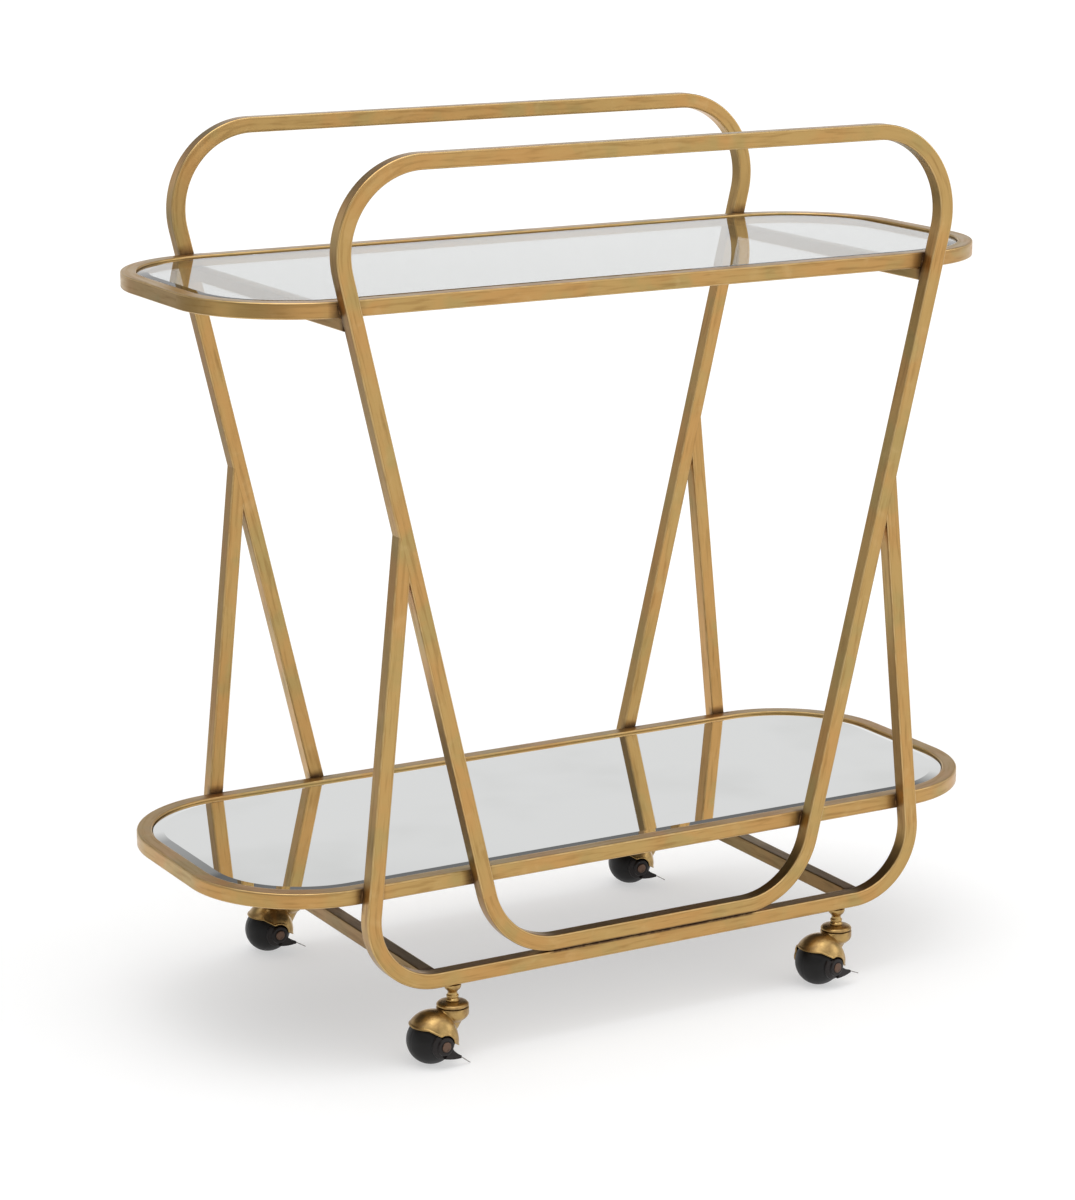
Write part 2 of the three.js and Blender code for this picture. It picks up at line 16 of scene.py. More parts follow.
import bmesh
import bpy
import numpy as np
from mathutils import Matrix, Vector


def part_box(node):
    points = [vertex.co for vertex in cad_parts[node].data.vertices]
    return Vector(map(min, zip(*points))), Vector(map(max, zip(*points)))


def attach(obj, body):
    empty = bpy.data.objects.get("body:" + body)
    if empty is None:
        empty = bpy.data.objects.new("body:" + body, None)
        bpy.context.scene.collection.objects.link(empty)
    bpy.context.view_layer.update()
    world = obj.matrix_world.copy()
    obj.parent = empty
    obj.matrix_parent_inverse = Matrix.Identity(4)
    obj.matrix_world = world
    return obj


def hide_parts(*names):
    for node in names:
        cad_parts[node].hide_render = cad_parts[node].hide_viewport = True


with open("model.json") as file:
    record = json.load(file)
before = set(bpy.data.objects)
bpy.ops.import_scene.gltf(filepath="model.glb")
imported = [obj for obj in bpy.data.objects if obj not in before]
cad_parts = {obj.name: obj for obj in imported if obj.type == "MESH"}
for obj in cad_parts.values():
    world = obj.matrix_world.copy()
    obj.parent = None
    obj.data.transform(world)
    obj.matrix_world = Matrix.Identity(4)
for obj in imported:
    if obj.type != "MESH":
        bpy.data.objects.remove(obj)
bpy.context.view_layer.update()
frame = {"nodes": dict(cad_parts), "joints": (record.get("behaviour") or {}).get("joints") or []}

LOG = logging.getLogger("bar_cart")
MM = 0.001
ROOT = "cart_frame"
RUN_MAP = "run"  # distance along a tube, and distance round it
EDGE_MARK = "edge"  # 1 on a tube's rounded long edges, where the gold is paler: partly wear, partly a painted highlight
SOOT_MARK = "soot"  # 1 where a weld has darkened the finish
BEAD_SIDES = 8
BEAD_STATIONS = 14


class Slot(Enum):
    """The record's material slots."""

    BRASS = "brushed_brass"
    CASTER = "caster_brass"
    GLASS = "clear_glass"
    MIRROR = "mirror"
    BACKING = "mirror_backing"
    PAD = "bumper_pad"
    STEEL = "plated_steel"
    AXLE = "axle_bronze"
    BALL = "ball_black"
    BRAKE = "brake_black"


class Lay(Enum):
    """The plane a bent tube's line is drawn in."""

    UPRIGHT = "XZ"
    LEVEL = "XY"


class Cut(Enum):
    """How one blank changes another."""

    JOIN = "UNION"
    CUT = "DIFFERENCE"
    KEEP = "INTERSECT"


Colour = tuple[float, float, float]
Flat = tuple[float, float]  # a point of a flat outline, or a radius and a height
Outline = Sequence[Flat]
Station = tuple[float, float, float]  # a place across, a height and a radius
Socket = bpy.types.NodeSocket
Piece = bpy.types.Object


# ------------------------------------------------------------------------------------ finishes
class NodeBench:
    """Lays out the nodes of one material."""

    def __init__(self, name: str) -> None:
        """Starts a material whose surface is one Principled shader.

        Args:
            name: The material's name.
        """
        self.material = bpy.data.materials.new(name)
        self.material.use_nodes = True
        self.tree = self.material.node_tree
        self.tree.nodes.clear()
        self.output = self.tree.nodes.new("ShaderNodeOutputMaterial")
        self.shader = self.tree.nodes.new("ShaderNodeBsdfPrincipled")
        self.link(self.shader.outputs[0], self.output.inputs["Surface"])

    def link(self, source: Socket, target: Socket) -> None:
        """Joins two sockets."""
        self.tree.links.new(source, target)

    def feed(self, target: Socket, value: object) -> None:
        """Gives a socket a value, or links another socket to it.

        Args:
            target: The input socket.
            value: A number, a colour, a vector or an output socket.
        """
        if isinstance(value, Socket):
            self.link(value, target)
        elif isinstance(value, tuple) and len(value) == 3 and target.type == "RGBA":
            target.default_value = (*value, 1.0)
        else:
            target.default_value = value

    def surface(self, **values: object) -> None:
        """Sets the shader's inputs by name, with underscores for spaces.

        Args:
            values: Numbers, colours or sockets.
        """
        for name, value in values.items():
            self.feed(self.shader.inputs[name.replace("_", " ")], value)

    def place(self) -> Socket:
        """The surface point in the piece's own space."""
        return self.tree.nodes.new("ShaderNodeTexCoord").outputs["Object"]

    def along(self) -> Socket:
        """The distance along and round a tube."""
        node = self.tree.nodes.new("ShaderNodeUVMap")
        node.uv_map = RUN_MAP
        return node.outputs[0]

    def mark(self, name: str) -> Socket:
        """A mark carried by the mesh's points."""
        node = self.tree.nodes.new("ShaderNodeAttribute")
        node.attribute_name = name
        return node.outputs["Fac"]

    def stretched(self, vector: Socket, by: Sequence[float]) -> Socket:
        """A vector scaled along each axis.

        Args:
            vector: The vector.
            by: The scale of each axis.

        Returns:
            The scaled vector.
        """
        node = self.tree.nodes.new("ShaderNodeMapping")
        self.link(vector, node.inputs["Vector"])
        node.inputs["Scale"].default_value = by
        return node.outputs[0]

    def noise(self, vector: Socket, scale: float, detail: float = 3.0, warp: float = 0.0) -> Socket:
        """Cloudy noise.

        Args:
            vector: Where the noise is read.
            scale: Clouds in each metre of the vector.
            detail: How many finer octaves are added.
            warp: How much the noise is distorted.

        Returns:
            A value about 0.5.
        """
        node = self.tree.nodes.new("ShaderNodeTexNoise")
        self.link(vector, node.inputs["Vector"])
        node.inputs["Scale"].default_value = scale
        node.inputs["Detail"].default_value = detail
        node.inputs["Distortion"].default_value = warp
        return node.outputs["Fac"]

    def ranged(self, value: Socket, low: float, high: float, to_low: float, to_high: float) -> Socket:
        """A value eased from one range to another, and held at its ends.

        Args:
            value: The value.
            low: The start of its range.
            high: The end of its range.
            to_low: The result at the start.
            to_high: The result at the end.

        Returns:
            The eased value.
        """
        node = self.tree.nodes.new("ShaderNodeMapRange")
        node.interpolation_type = "SMOOTHSTEP"
        for name, number in (("From Min", low), ("From Max", high), ("To Min", to_low), ("To Max", to_high)):
            node.inputs[name].default_value = number
        self.link(value, node.inputs["Value"])
        return node.outputs[0]

    def combined(self, one: Socket, two: object, how: str) -> Socket:
        """Two values combined.

        Args:
            one: The first value.
            two: The second value, or a number.
            how: The Math node's operation.

        Returns:
            The combined value.
        """
        node = self.tree.nodes.new("ShaderNodeMath")
        node.operation = how
        self.feed(node.inputs[0], one)
        self.feed(node.inputs[1], two)
        return node.outputs[0]

    def plus(self, one: Socket, two: object) -> Socket:
        """The sum of a value and another, or a number."""
        return self.combined(one, two, "ADD")

    def times(self, one: Socket, two: object) -> Socket:
        """The product of a value and another, or a number."""
        return self.combined(one, two, "MULTIPLY")

    def mixed(self, factor: Socket, one: object, two: object) -> Socket:
        """A colour between two others.

        Args:
            factor: 0 for the first colour, 1 for the second.
            one: A colour, or a socket.
            two: A colour, or a socket.

        Returns:
            The mixed colour.
        """
        node = self.tree.nodes.new("ShaderNodeMix")
        node.data_type = "RGBA"
        self.link(factor, node.inputs["Factor"])
        for value, target in ((one, node.inputs[6]), (two, node.inputs[7])):
            self.feed(target, value)
        return node.outputs[2]

    def bumped(self, height: Socket, depth: float, strength: float) -> None:
        """Raises the surface by a height.

        Args:
            height: The height, from 0 to 1.
            depth: The height of 1, in metres.
            strength: How strongly it shows.
        """
        node = self.tree.nodes.new("ShaderNodeBump")
        node.inputs["Strength"].default_value = strength
        node.inputs["Distance"].default_value = depth
        self.link(height, node.inputs["Height"])
        self.link(node.outputs[0], self.shader.inputs["Normal"])


@dataclass(frozen=True)
class Finish:
    """A finish that pieces are dressed in. Each kind draws its own nodes."""

    name: str
    slot: Slot

    def draw(self, bench: NodeBench) -> None:
        """Lays out the finish's nodes on the bench."""
        raise NotImplementedError

    @cache
    def material(self) -> bpy.types.Material:
        """The finish's material, made once."""
        bench = NodeBench(self.name)
        self.draw(bench)
        return bench.material


@dataclass(frozen=True)
class BrushedGold(Finish):
    """Antique gold tube, brushed along its length, paler on its edges and dark round its welds. The pale
    edges are partly wear and partly a painted highlight, with a painted dark line beside each.
    """

    gold: Colour = (0.475, 0.303, 0.107)
    warm: Colour = (0.51, 0.278, 0.092)
    olive: Colour = (0.405, 0.29, 0.105)
    # The pale tone of rubs, fine streaks and edges; on the edges it is partly a painted highlight.
    edge: Colour = (0.64, 0.46, 0.215)
    soot: Colour = (0.085, 0.042, 0.02)
    roughness: float = 0.33

    def draw(self, bench: NodeBench) -> None:
        """Draws patches of tone, brushed streaks, pale edges that are partly wear and partly a painted
        highlight, a painted dark line beside them, and weld soot.
        """
        place = bench.place()
        along = bench.along()
        patches = bench.ranged(bench.noise(place, 11.0, 4.0, 0.6), 0.38, 0.62, 0.0, 1.0)
        olives = bench.ranged(bench.noise(place, 19.0, 3.0, 0.3), 0.50, 0.68, 0.0, 0.85)
        broad = bench.noise(bench.stretched(along, (22.0, 240.0, 1.0)), 1.0, 5.0, 0.3)
        fine = bench.noise(bench.stretched(along, (34.0, 2100.0, 1.0)), 1.0, 3.0)
        tone = bench.mixed(bench.times(patches, 0.8), self.gold, self.warm)
        tone = bench.mixed(olives, tone, self.olive)
        # A darker gold, for the broad streaks and for the painted dark line beside each edge.
        shade = (0.62 * self.gold[0], 0.53 * self.gold[1], 0.42 * self.gold[2])
        tone = bench.mixed(bench.ranged(broad, 0.48, 0.74, 0.0, 0.55), tone, shade)
        rubs = bench.ranged(bench.noise(place, 42.0, 4.0, 0.5), 0.56, 0.76, 0.0, 0.22)
        tone = bench.mixed(rubs, tone, self.edge)
        tone = bench.mixed(bench.ranged(fine, 0.55, 0.8, 0.0, 0.35), tone, self.edge)
        # Pale edges: partly wear, partly a painted highlight where the rounded edges would catch the light.
        edge_breakup = bench.ranged(bench.noise(place, 70.0, 3.0), 0.3, 0.65, 0.25, 1.0)
        wear_and_painted_highlight = bench.times(bench.mark(EDGE_MARK), edge_breakup)
        tone = bench.mixed(bench.times(wear_and_painted_highlight, 0.6), tone, self.edge)
        # A painted dark line beside each pale edge: painted shade for the dark surroundings the edges would
        # reflect.
        beside = bench.times(
            bench.ranged(bench.mark(EDGE_MARK), 0.02, 0.2, 0.0, 0.7),
            bench.ranged(bench.mark(EDGE_MARK), 0.35, 0.6, 1.0, 0.0))
        tone = bench.mixed(bench.times(beside, edge_breakup), tone, shade)
        smoke = bench.ranged(bench.noise(place, 160.0, 4.0, 0.5), 0.3, 0.62, 0.75, 1.0)
        soot = bench.times(bench.mark(SOOT_MARK), smoke)
        tone = bench.mixed(soot, tone, self.soot)
        rough = bench.ranged(broad, 0.35, 0.7, self.roughness - 0.04, self.roughness + 0.08)
        rough = bench.plus(rough, bench.times(soot, 0.25))
        tangent = bench.tree.nodes.new("ShaderNodeTangent")
        tangent.direction_type = "UV_MAP"
        tangent.uv_map = RUN_MAP
        bench.surface(Base_Color=tone, Metallic=1.0, Roughness=rough, Anisotropic=0.45)
        bench.surface(Coat_Weight=0.18, Coat_Roughness=0.28, Tangent=tangent.outputs[0])
        bench.bumped(bench.plus(bench.times(fine, 0.5), broad), 0.05 * MM, 0.35)


@dataclass(frozen=True)
class CasterGold(Finish):
    """Satin antique gold plate over a casting, browner in patches."""

    gold: Colour = (0.45, 0.295, 0.11)
    brown: Colour = (0.22, 0.125, 0.05)
    bright: Colour = (0.62, 0.44, 0.20)
    roughness: float = 0.31

    def draw(self, bench: NodeBench) -> None:
        """Draws a mottled plate with fine turning marks."""
        place = bench.place()
        clouds = bench.noise(place, 75.0, 4.0, 0.8)
        specks = bench.noise(place, 520.0, 3.0)
        rings = bench.noise(bench.stretched(place, (40.0, 40.0, 1500.0)), 1.0, 2.0)
        tone = bench.mixed(bench.ranged(clouds, 0.44, 0.74, 0.0, 0.75), self.gold, self.brown)
        tone = bench.mixed(bench.ranged(specks, 0.56, 0.78, 0.0, 0.4), tone, self.bright)
        rough = bench.ranged(clouds, 0.3, 0.7, self.roughness - 0.05, self.roughness + 0.1)
        bench.surface(Base_Color=tone, Metallic=1.0, Roughness=rough, Coat_Weight=0.15, Coat_Roughness=0.2)
        bench.bumped(bench.plus(specks, bench.times(rings, 0.5)), 0.05 * MM, 0.4)


@dataclass(frozen=True)
class Metal(Finish):
    """A plain plated metal with a soft mottle and fine marks."""

    light: Colour
    dark: Colour
    roughness: float

    def draw(self, bench: NodeBench) -> None:
        """Draws the plate's mottle."""
        place = bench.place()
        clouds = bench.noise(place, 190.0, 4.0, 0.5)
        marks = bench.noise(bench.stretched(place, (300.0, 300.0, 2600.0)), 1.0, 2.0)
        tone = bench.mixed(bench.ranged(clouds, 0.4, 0.65, 0.0, 1.0), self.light, self.dark)
        rough = bench.ranged(marks, 0.3, 0.7, self.roughness - 0.05, self.roughness + 0.1)
        bench.surface(Base_Color=tone, Metallic=1.0, Roughness=rough)
        bench.bumped(marks, 0.03 * MM, 0.3)


@dataclass(frozen=True)
class Moulded(Finish):
    """A moulded plastic, scuffed where it rubs."""

    body: Colour
    scuff: Colour
    roughness: float
    grain: float = 900.0

    def draw(self, bench: NodeBench) -> None:
        """Draws a fine moulded grain, cloudy gloss and pale scuffs."""
        place = bench.place()
        grain = bench.noise(place, self.grain, 2.0)
        clouds = bench.noise(place, 45.0, 4.0, 0.4)
        scratches = bench.noise(bench.stretched(place, (900.0, 120.0, 700.0)), 1.0, 3.0, 0.4)
        scuffed = bench.ranged(scratches, 0.58, 0.76, 0.0, 0.6)
        tone = bench.mixed(scuffed, self.body, self.scuff)
        rough = bench.ranged(clouds, 0.3, 0.7, self.roughness - 0.06, self.roughness + 0.1)
        rough = bench.plus(rough, bench.times(scuffed, 0.15))
        bench.surface(Base_Color=tone, Roughness=rough, Specular_IOR_Level=0.3)
        bench.bumped(grain, 0.04 * MM, 0.35)


@dataclass(frozen=True)
class ClearGlass(Finish):
    """Clear glass with faint wipe marks, which lets lamps through to what is under it."""

    tint: Colour = (0.56, 0.575, 0.57)
    shadow: Colour = (0.93, 0.94, 0.935)

    def draw(self, bench: NodeBench) -> None:
        """Draws the glass, and a tinted clear pass for shadows."""
        wipes = bench.noise(bench.stretched(bench.place(), (3.0, 14.0, 3.0)), 1.0, 4.0, 0.8)
        rough = bench.ranged(wipes, 0.45, 0.8, 0.0, 0.03)
        bench.surface(Base_Color=self.tint, Roughness=rough, IOR=1.5, Transmission_Weight=1.0)
        clear = bench.tree.nodes.new("ShaderNodeBsdfTransparent")
        clear.inputs[0].default_value = (*self.shadow, 1.0)
        path = bench.tree.nodes.new("ShaderNodeLightPath")
        either = bench.tree.nodes.new("ShaderNodeMixShader")
        bench.link(path.outputs["Is Shadow Ray"], either.inputs[0])
        bench.link(bench.shader.outputs[0], either.inputs[1])
        bench.link(clear.outputs[0], either.inputs[2])
        bench.link(either.outputs[0], bench.output.inputs["Surface"])


@dataclass(frozen=True)
class Silvering(Finish):
    """Mirror silvering behind polished glass, with faint wipe marks."""

    silver: Colour = (0.87, 0.88, 0.875)
    aged: Colour = (0.80, 0.81, 0.80)

    def draw(self, bench: NodeBench) -> None:
        """Draws the mirror and its wipe marks."""
        place = bench.place()
        wipes = bench.noise(bench.stretched(place, (3.0, 14.0, 3.0)), 1.0, 4.0, 0.8)
        clouds = bench.noise(place, 5.0, 3.0)
        tone = bench.mixed(bench.ranged(clouds, 0.45, 0.7, 0.0, 1.0), self.silver, self.aged)
        bench.surface(Base_Color=tone, Metallic=1.0, Roughness=bench.ranged(wipes, 0.45, 0.8, 0.01, 0.045))


@dataclass(frozen=True)
class FloorPaper(Finish):
    """The studio floor's pale paper, lit from below as well."""

    pale: Colour = (0.52, 0.52, 0.52)
    shade: Colour = (0.50, 0.50, 0.50)
    glow: float = 0.50

    def draw(self, bench: NodeBench) -> None:
        """Draws a barely mottled matt surface."""
        clouds = bench.noise(bench.place(), 0.8, 3.0)
        tone = bench.mixed(clouds, self.pale, self.shade)
        bench.surface(Base_Color=tone, Roughness=0.9)
        bench.surface(Emission_Color=(1.0, 1.0, 1.0), Emission_Strength=self.glow)


GOLD = BrushedGold("brushed_gold", Slot.BRASS)
# A darker copy of the gold for the base cross bars: painted shade, for the shade they sit in under the mirror
# shelf.
PAINTED_SHADE_GOLD = BrushedGold(
    "painted_shade_gold",
    Slot.BRASS,
    gold=(0.27, 0.165, 0.055),
    warm=(0.29, 0.155, 0.05),
    olive=(0.23, 0.155, 0.055),
    edge=(0.42, 0.29, 0.125),
)
WELD = Metal("weld_bead", Slot.BRASS, (0.20, 0.11, 0.045), (0.07, 0.035, 0.018), 0.42)
CASTER_GOLD = CasterGold("caster_gold", Slot.CASTER)
GLASS = ClearGlass("shelf_glass", Slot.GLASS)
SILVER = Silvering("mirror_silvering", Slot.MIRROR)
BACKING = Moulded("backing_paint", Slot.BACKING, (0.055, 0.045, 0.04), (0.09, 0.08, 0.075), 0.75, 300.0)
BUMPER = Moulded("bumper_rubber", Slot.PAD, (0.72, 0.75, 0.74), (0.85, 0.86, 0.86), 0.42)
ZINC = Metal("zinc_plate", Slot.STEEL, (0.40, 0.385, 0.37), (0.25, 0.235, 0.22), 0.34)
# Near-black steel for the race: painted shade, for the dark gap between the swivel cap and the hood's collar.
RACE_PAINTED_SHADE = Metal("race_painted_shade", Slot.STEEL, (0.03, 0.018, 0.012), (0.015, 0.01, 0.008), 0.5)
BRONZE = Metal("bronze_plate", Slot.AXLE, (0.15, 0.095, 0.07), (0.08, 0.055, 0.042), 0.4)
BALL_BLACK = Moulded("ball_moulding", Slot.BALL, (0.0045, 0.004, 0.0038), (0.018, 0.016, 0.015), 0.42)
BRAKE_BLACK = Moulded("brake_moulding", Slot.BRAKE, (0.011, 0.0075, 0.007), (0.032, 0.024, 0.021), 0.36)
PAPER = FloorPaper("floor_paper", Slot.PAD)


# ------------------------------------------------------------------------------------- drawing
def eased(value: np.ndarray) -> np.ndarray:
    """Values held between 0 and 1 and eased at both ends."""
    held = np.clip(value, 0.0, 1.0)
    return held * held * (3.0 - 2.0 * held)


def dressed(piece: Piece, finish: Finish, body: str, *nodes: str) -> Piece:
    """Gives a piece its finish, its body and the CAD nodes it stands for.

    Args:
        piece: The piece.
        finish: Its finish.
        body: The body it rides on.
        nodes: The CAD nodes it replaces.

    Returns:
        The piece.
    """
    piece.data.materials.clear()
    piece.data.materials.append(finish.material())
    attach(piece, body)
    if nodes:
        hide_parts(*nodes)
    LOG.info("%s rides on %s in %s", piece.name, body, finish.name)
    return piece


def shown(mesh: bpy.types.Mesh, name: str, sharp: float = 35.0) -> Piece:
    """Puts a mesh in the scene, smooth except across its sharp edges.

    Args:
        mesh: The mesh.
        name: The piece's name.
        sharp: Edges that turn by more than these degrees stay crisp.

    Returns:
        The piece.
    """
    mesh.shade_smooth()
    mesh.set_sharp_from_angle(angle=math.radians(sharp))
    piece = bpy.data.objects.new(name, mesh)
    bpy.context.scene.collection.objects.link(piece)
    return piece


def mesh_of(name: str, points: Iterable[Sequence[float]], faces: Sequence[Sequence[int]]) -> bpy.types.Mesh:
    """A mesh from points and faces.

    Args:
        name: The mesh's name.
        points: The points.
        faces: The faces, as point numbers.

    Returns:
        The mesh.
    """
    mesh = bpy.data.meshes.new(name)
    mesh.from_pydata([tuple(p) for p in points], [], [tuple(f) for f in faces])
    mesh.update()
    return mesh


def turned_out(mesh: bpy.types.Mesh) -> bpy.types.Mesh:
    """The mesh with every face pointing outwards."""
    work = bmesh.new()
    work.from_mesh(mesh)
    bmesh.ops.recalc_face_normals(work, faces=work.faces[:])
    work.to_mesh(mesh)
    work.free()
    return mesh


@dataclass(frozen=True)
class Patch:
    """A weld's contact patch, which darkens the tube round it."""

    centre: tuple[float, float, float]
    half: tuple[float, float, float]
    reach: float = 9 * MM
    strength: float = 1.0

    def soot(self, points: np.ndarray) -> np.ndarray:
        """How dark each point is, from 0 to the patch's strength.

        Args:
            points: One row for each point.

        Returns:
            The darkness of each point.
        """
        outside = np.maximum(np.abs(points - np.array(self.centre)) - np.array(self.half), 0.0)
        distance = np.linalg.norm(outside, axis=1)
        return self.strength * eased(1.0 - distance / self.reach)


@dataclass(frozen=True)
class Section:
    """A rectangular tube's outline, with rounded long edges."""

    width: float
    height: float
    edge: float = 1.5 * MM
    steps: int = 4
    margin: float = 0.8 * MM

    def outline(self) -> list[tuple[float, float, float]]:
        """The outline's points in order.

        Returns:
            For each point its place across, its place up, and its edge mark.
        """
        points: list[tuple[float, float, float]] = []
        half_w, half_h = self.width / 2, self.height / 2
        for quarter, (sx, sy) in enumerate(((1, 1), (-1, 1), (-1, -1), (1, -1))):
            cx, cy = sx * (half_w - self.edge), sy * (half_h - self.edge)
            for step in range(self.steps + 1):
                turn = math.radians(90 * quarter + 90 * step / self.steps)
                mark = 1.0 if 0 < step < self.steps else 0.5
                points.append((cx + self.edge * math.cos(turn), cy + self.edge * math.sin(turn), mark))
            x, y, _ = points[-1]
            side = self.width if quarter % 2 == 0 else self.height
            ahead = Vector((-sx, 0.0)) if quarter % 2 == 0 else Vector((0.0, -sy))
            flat = side - 2 * self.edge
            for run in (self.margin, flat / 2, flat - self.margin):
                points.append((x + ahead.x * run, y + ahead.y * run, 0.0))
        return points


@dataclass(frozen=True)
class Corner:
    """A corner of a bent line, or with no bend one of its two ends."""

    x: float
    y: float
    bend: float = 0.0


@dataclass
class BentTube:
    """A square tube bent along a flat line, closed or with two ends."""

    name: str
    lay: Lay
    level: float
    corners: Sequence[Corner]
    section: Section
    closed: bool = True
    patches: Sequence[Patch] = ()
    pitch: float = 7 * MM
    turn: float = math.radians(3.0)
    end_cut: Callable[[np.ndarray, np.ndarray], np.ndarray] | None = None
    line: list[tuple[Vector, Vector, float]] = field(default_factory=list)

    def trace(self) -> None:
        """Walks the line into stations: a point, its direction and its distance along."""
        spots: list[Vector] = []
        count = len(self.corners)
        for index, corner in enumerate(self.corners):
            here = Vector((corner.x, corner.y))
            if corner.bend <= 0.0:
                spots.append(here)
                continue
            before = self.corners[index - 1]
            after = self.corners[(index + 1) % count]
            back = (Vector((before.x, before.y)) - here).normalized()
            on = (Vector((after.x, after.y)) - here).normalized()
            half = back.angle(on) / 2
            middle = here + (back + on).normalized() * (corner.bend / math.sin(half))
            first = here + back * (corner.bend / math.tan(half)) - middle
            sweep = math.pi - 2 * half
            sign = 1.0 if back.x * on.y - back.y * on.x < 0 else -1.0
            steps = max(3, math.ceil(sweep / self.turn))
            for step in range(steps + 1):
                angle = sign * sweep * step / steps
                cos, sin = math.cos(angle), math.sin(angle)
                spots.append(middle + Vector((first.x * cos - first.y * sin, first.x * sin + first.y * cos)))
        filled: list[Vector] = []
        last = len(spots) if self.closed else len(spots) - 1
        for index in range(last):
            start, end = spots[index], spots[(index + 1) % len(spots)]
            pieces = max(1, math.ceil((end - start).length / self.pitch))
            filled += [start.lerp(end, step / pieces) for step in range(pieces)]
        if not self.closed:
            filled.append(spots[-1])
        along = 0.0
        for index, spot in enumerate(filled):
            before = filled[index - 1] if self.closed or index else spot
            after = filled[(index + 1) % len(filled)] if self.closed or index + 1 < len(filled) else spot
            if index:
                along += (spot - filled[index - 1]).length
            self.line.append((spot, (after - before).normalized(), along))

    def spread(self, across: np.ndarray, out: np.ndarray) -> np.ndarray:
        """Points of the line's plane as points in space.

        Args:
            across: Flat points, one row each.
            out: Each point's distance out of the plane.

        Returns:
            Points in space, one row each.
        """
        x, y, w = across[:, 0], across[:, 1], self.level + out
        return np.stack([x, w, y] if self.lay is Lay.UPRIGHT else [x, y, w], axis=1)

    def build(self) -> Piece:
        """Sweeps the section along the line.

        Returns:
            The tube, with its run map and its edge and soot marks.
        """
        self.trace()
        outline = np.array(self.section.outline())
        sides, stations = len(outline), len(self.line)
        spots = np.array([tuple(s) for s, _, _ in self.line])
        heads = np.array([tuple(t) for _, t, _ in self.line])
        normals = np.stack([-heads[:, 1], heads[:, 0]], axis=1)
        flat = spots[:, None, :] + outline[None, :, 0, None] * normals[:, None, :]
        if self.end_cut is not None:
            for end in (0, stations - 1):
                flat[end] = self.end_cut(flat[end], heads[end])
        out = np.broadcast_to(outline[None, :, 1], (stations, sides)).ravel()
        points = self.spread(flat.reshape(-1, 2), out)
        walk = np.array([a for _, _, a in self.line])
        ring = np.linalg.norm(np.roll(outline[:, :2], -1, axis=0) - outline[:, :2], axis=1)
        around = np.concatenate([[0.0], np.cumsum(ring)])
        total = walk[-1] + float(np.linalg.norm(spots[0] - spots[-1]))
        faces: list[list[int]] = []
        maps: list[tuple[float, float]] = []
        for i in range(stations if self.closed else stations - 1):
            j = (i + 1) % stations
            ahead = total if j == 0 else walk[j]
            for k in range(sides):
                m = (k + 1) % sides
                faces.append([i * sides + k, j * sides + k, j * sides + m, i * sides + m])
                maps += [(walk[i], around[k]), (ahead, around[k])]
                maps += [(ahead, around[k + 1]), (walk[i], around[k + 1])]
        if not self.closed:
            for end, order in ((0, 1), (stations - 1, -1)):
                cap = [end * sides + k for k in range(sides)][::order]
                faces.append(cap)
                maps += [(walk[end], around[k % sides]) for k in range(sides)]
        mesh = mesh_of(self.name, points, faces)
        layer = mesh.uv_layers.new(name=RUN_MAP)
        layer.uv.foreach_set("vector", np.array(maps, dtype=np.float32).ravel())
        soot = np.zeros(len(points))
        for patch in self.patches:
            soot = np.maximum(soot, patch.soot(points))
        marks = {EDGE_MARK: np.tile(outline[:, 2], stations), SOOT_MARK: soot}
        for mark, values in marks.items():
            held = mesh.attributes.new(mark, "FLOAT", "POINT")
            held.data.foreach_set("value", values.astype(np.float32))
        return shown(turned_out(mesh), self.name)


@dataclass(frozen=True)
class RoundedPanel:
    """The outline of a shelf: a rectangle with round corners."""

    half_x: float
    half_y: float
    corner: float

    def inset(self, by: float) -> "RoundedPanel":
        """The same outline, moved in all round."""
        return RoundedPanel(self.half_x - by, self.half_y - by, self.corner - by)

    def corners(self) -> list[Corner]:
        """The outline as a bent line, anticlockwise."""
        signs = ((-1, -1), (1, -1), (1, 1), (-1, 1))
        return [Corner(sx * self.half_x, sy * self.half_y, self.corner) for sx, sy in signs]

    def ring(self, steps: int = 28) -> list[tuple[float, float]]:
        """The outline's points, anticlockwise.

        Args:
            steps: Chords in each corner.

        Returns:
            The points.
        """
        points: list[tuple[float, float]] = []
        for quarter, (sx, sy) in enumerate(((1, 1), (-1, 1), (-1, -1), (1, -1))):
            cx, cy = sx * (self.half_x - self.corner), sy * (self.half_y - self.corner)
            for step in range(steps + 1):
                turn = math.radians(90 * quarter + 90 * step / steps)
                points.append((cx + self.corner * math.cos(turn), cy + self.corner * math.sin(turn)))
        return points

    def layered(self, name: str, layers: Sequence[tuple[float, float]], sharp: float = 4.0) -> Piece:
        """A sheet built up from layers, closed at its bottom and top.

        Args:
            name: The piece's name.
            layers: Each layer's inset and height, from the bottom up.
            sharp: Edges that turn by more than these degrees stay crisp.

        Returns:
            The sheet.
        """
        points: list[tuple[float, float, float]] = []
        for by, height in layers:
            points += [(x, y, height) for x, y in self.inset(by).ring()]
        count = len(points) // len(layers)
        faces = [list(range(count))[::-1]]
        for layer in range(len(layers) - 1):
            base = layer * count
            for k in range(count):
                m = (k + 1) % count
                faces.append([base + k, base + m, base + count + m, base + count + k])
        faces.append([(len(layers) - 1) * count + k for k in range(count)])
        return shown(turned_out(mesh_of(name, points, faces)), name, sharp)


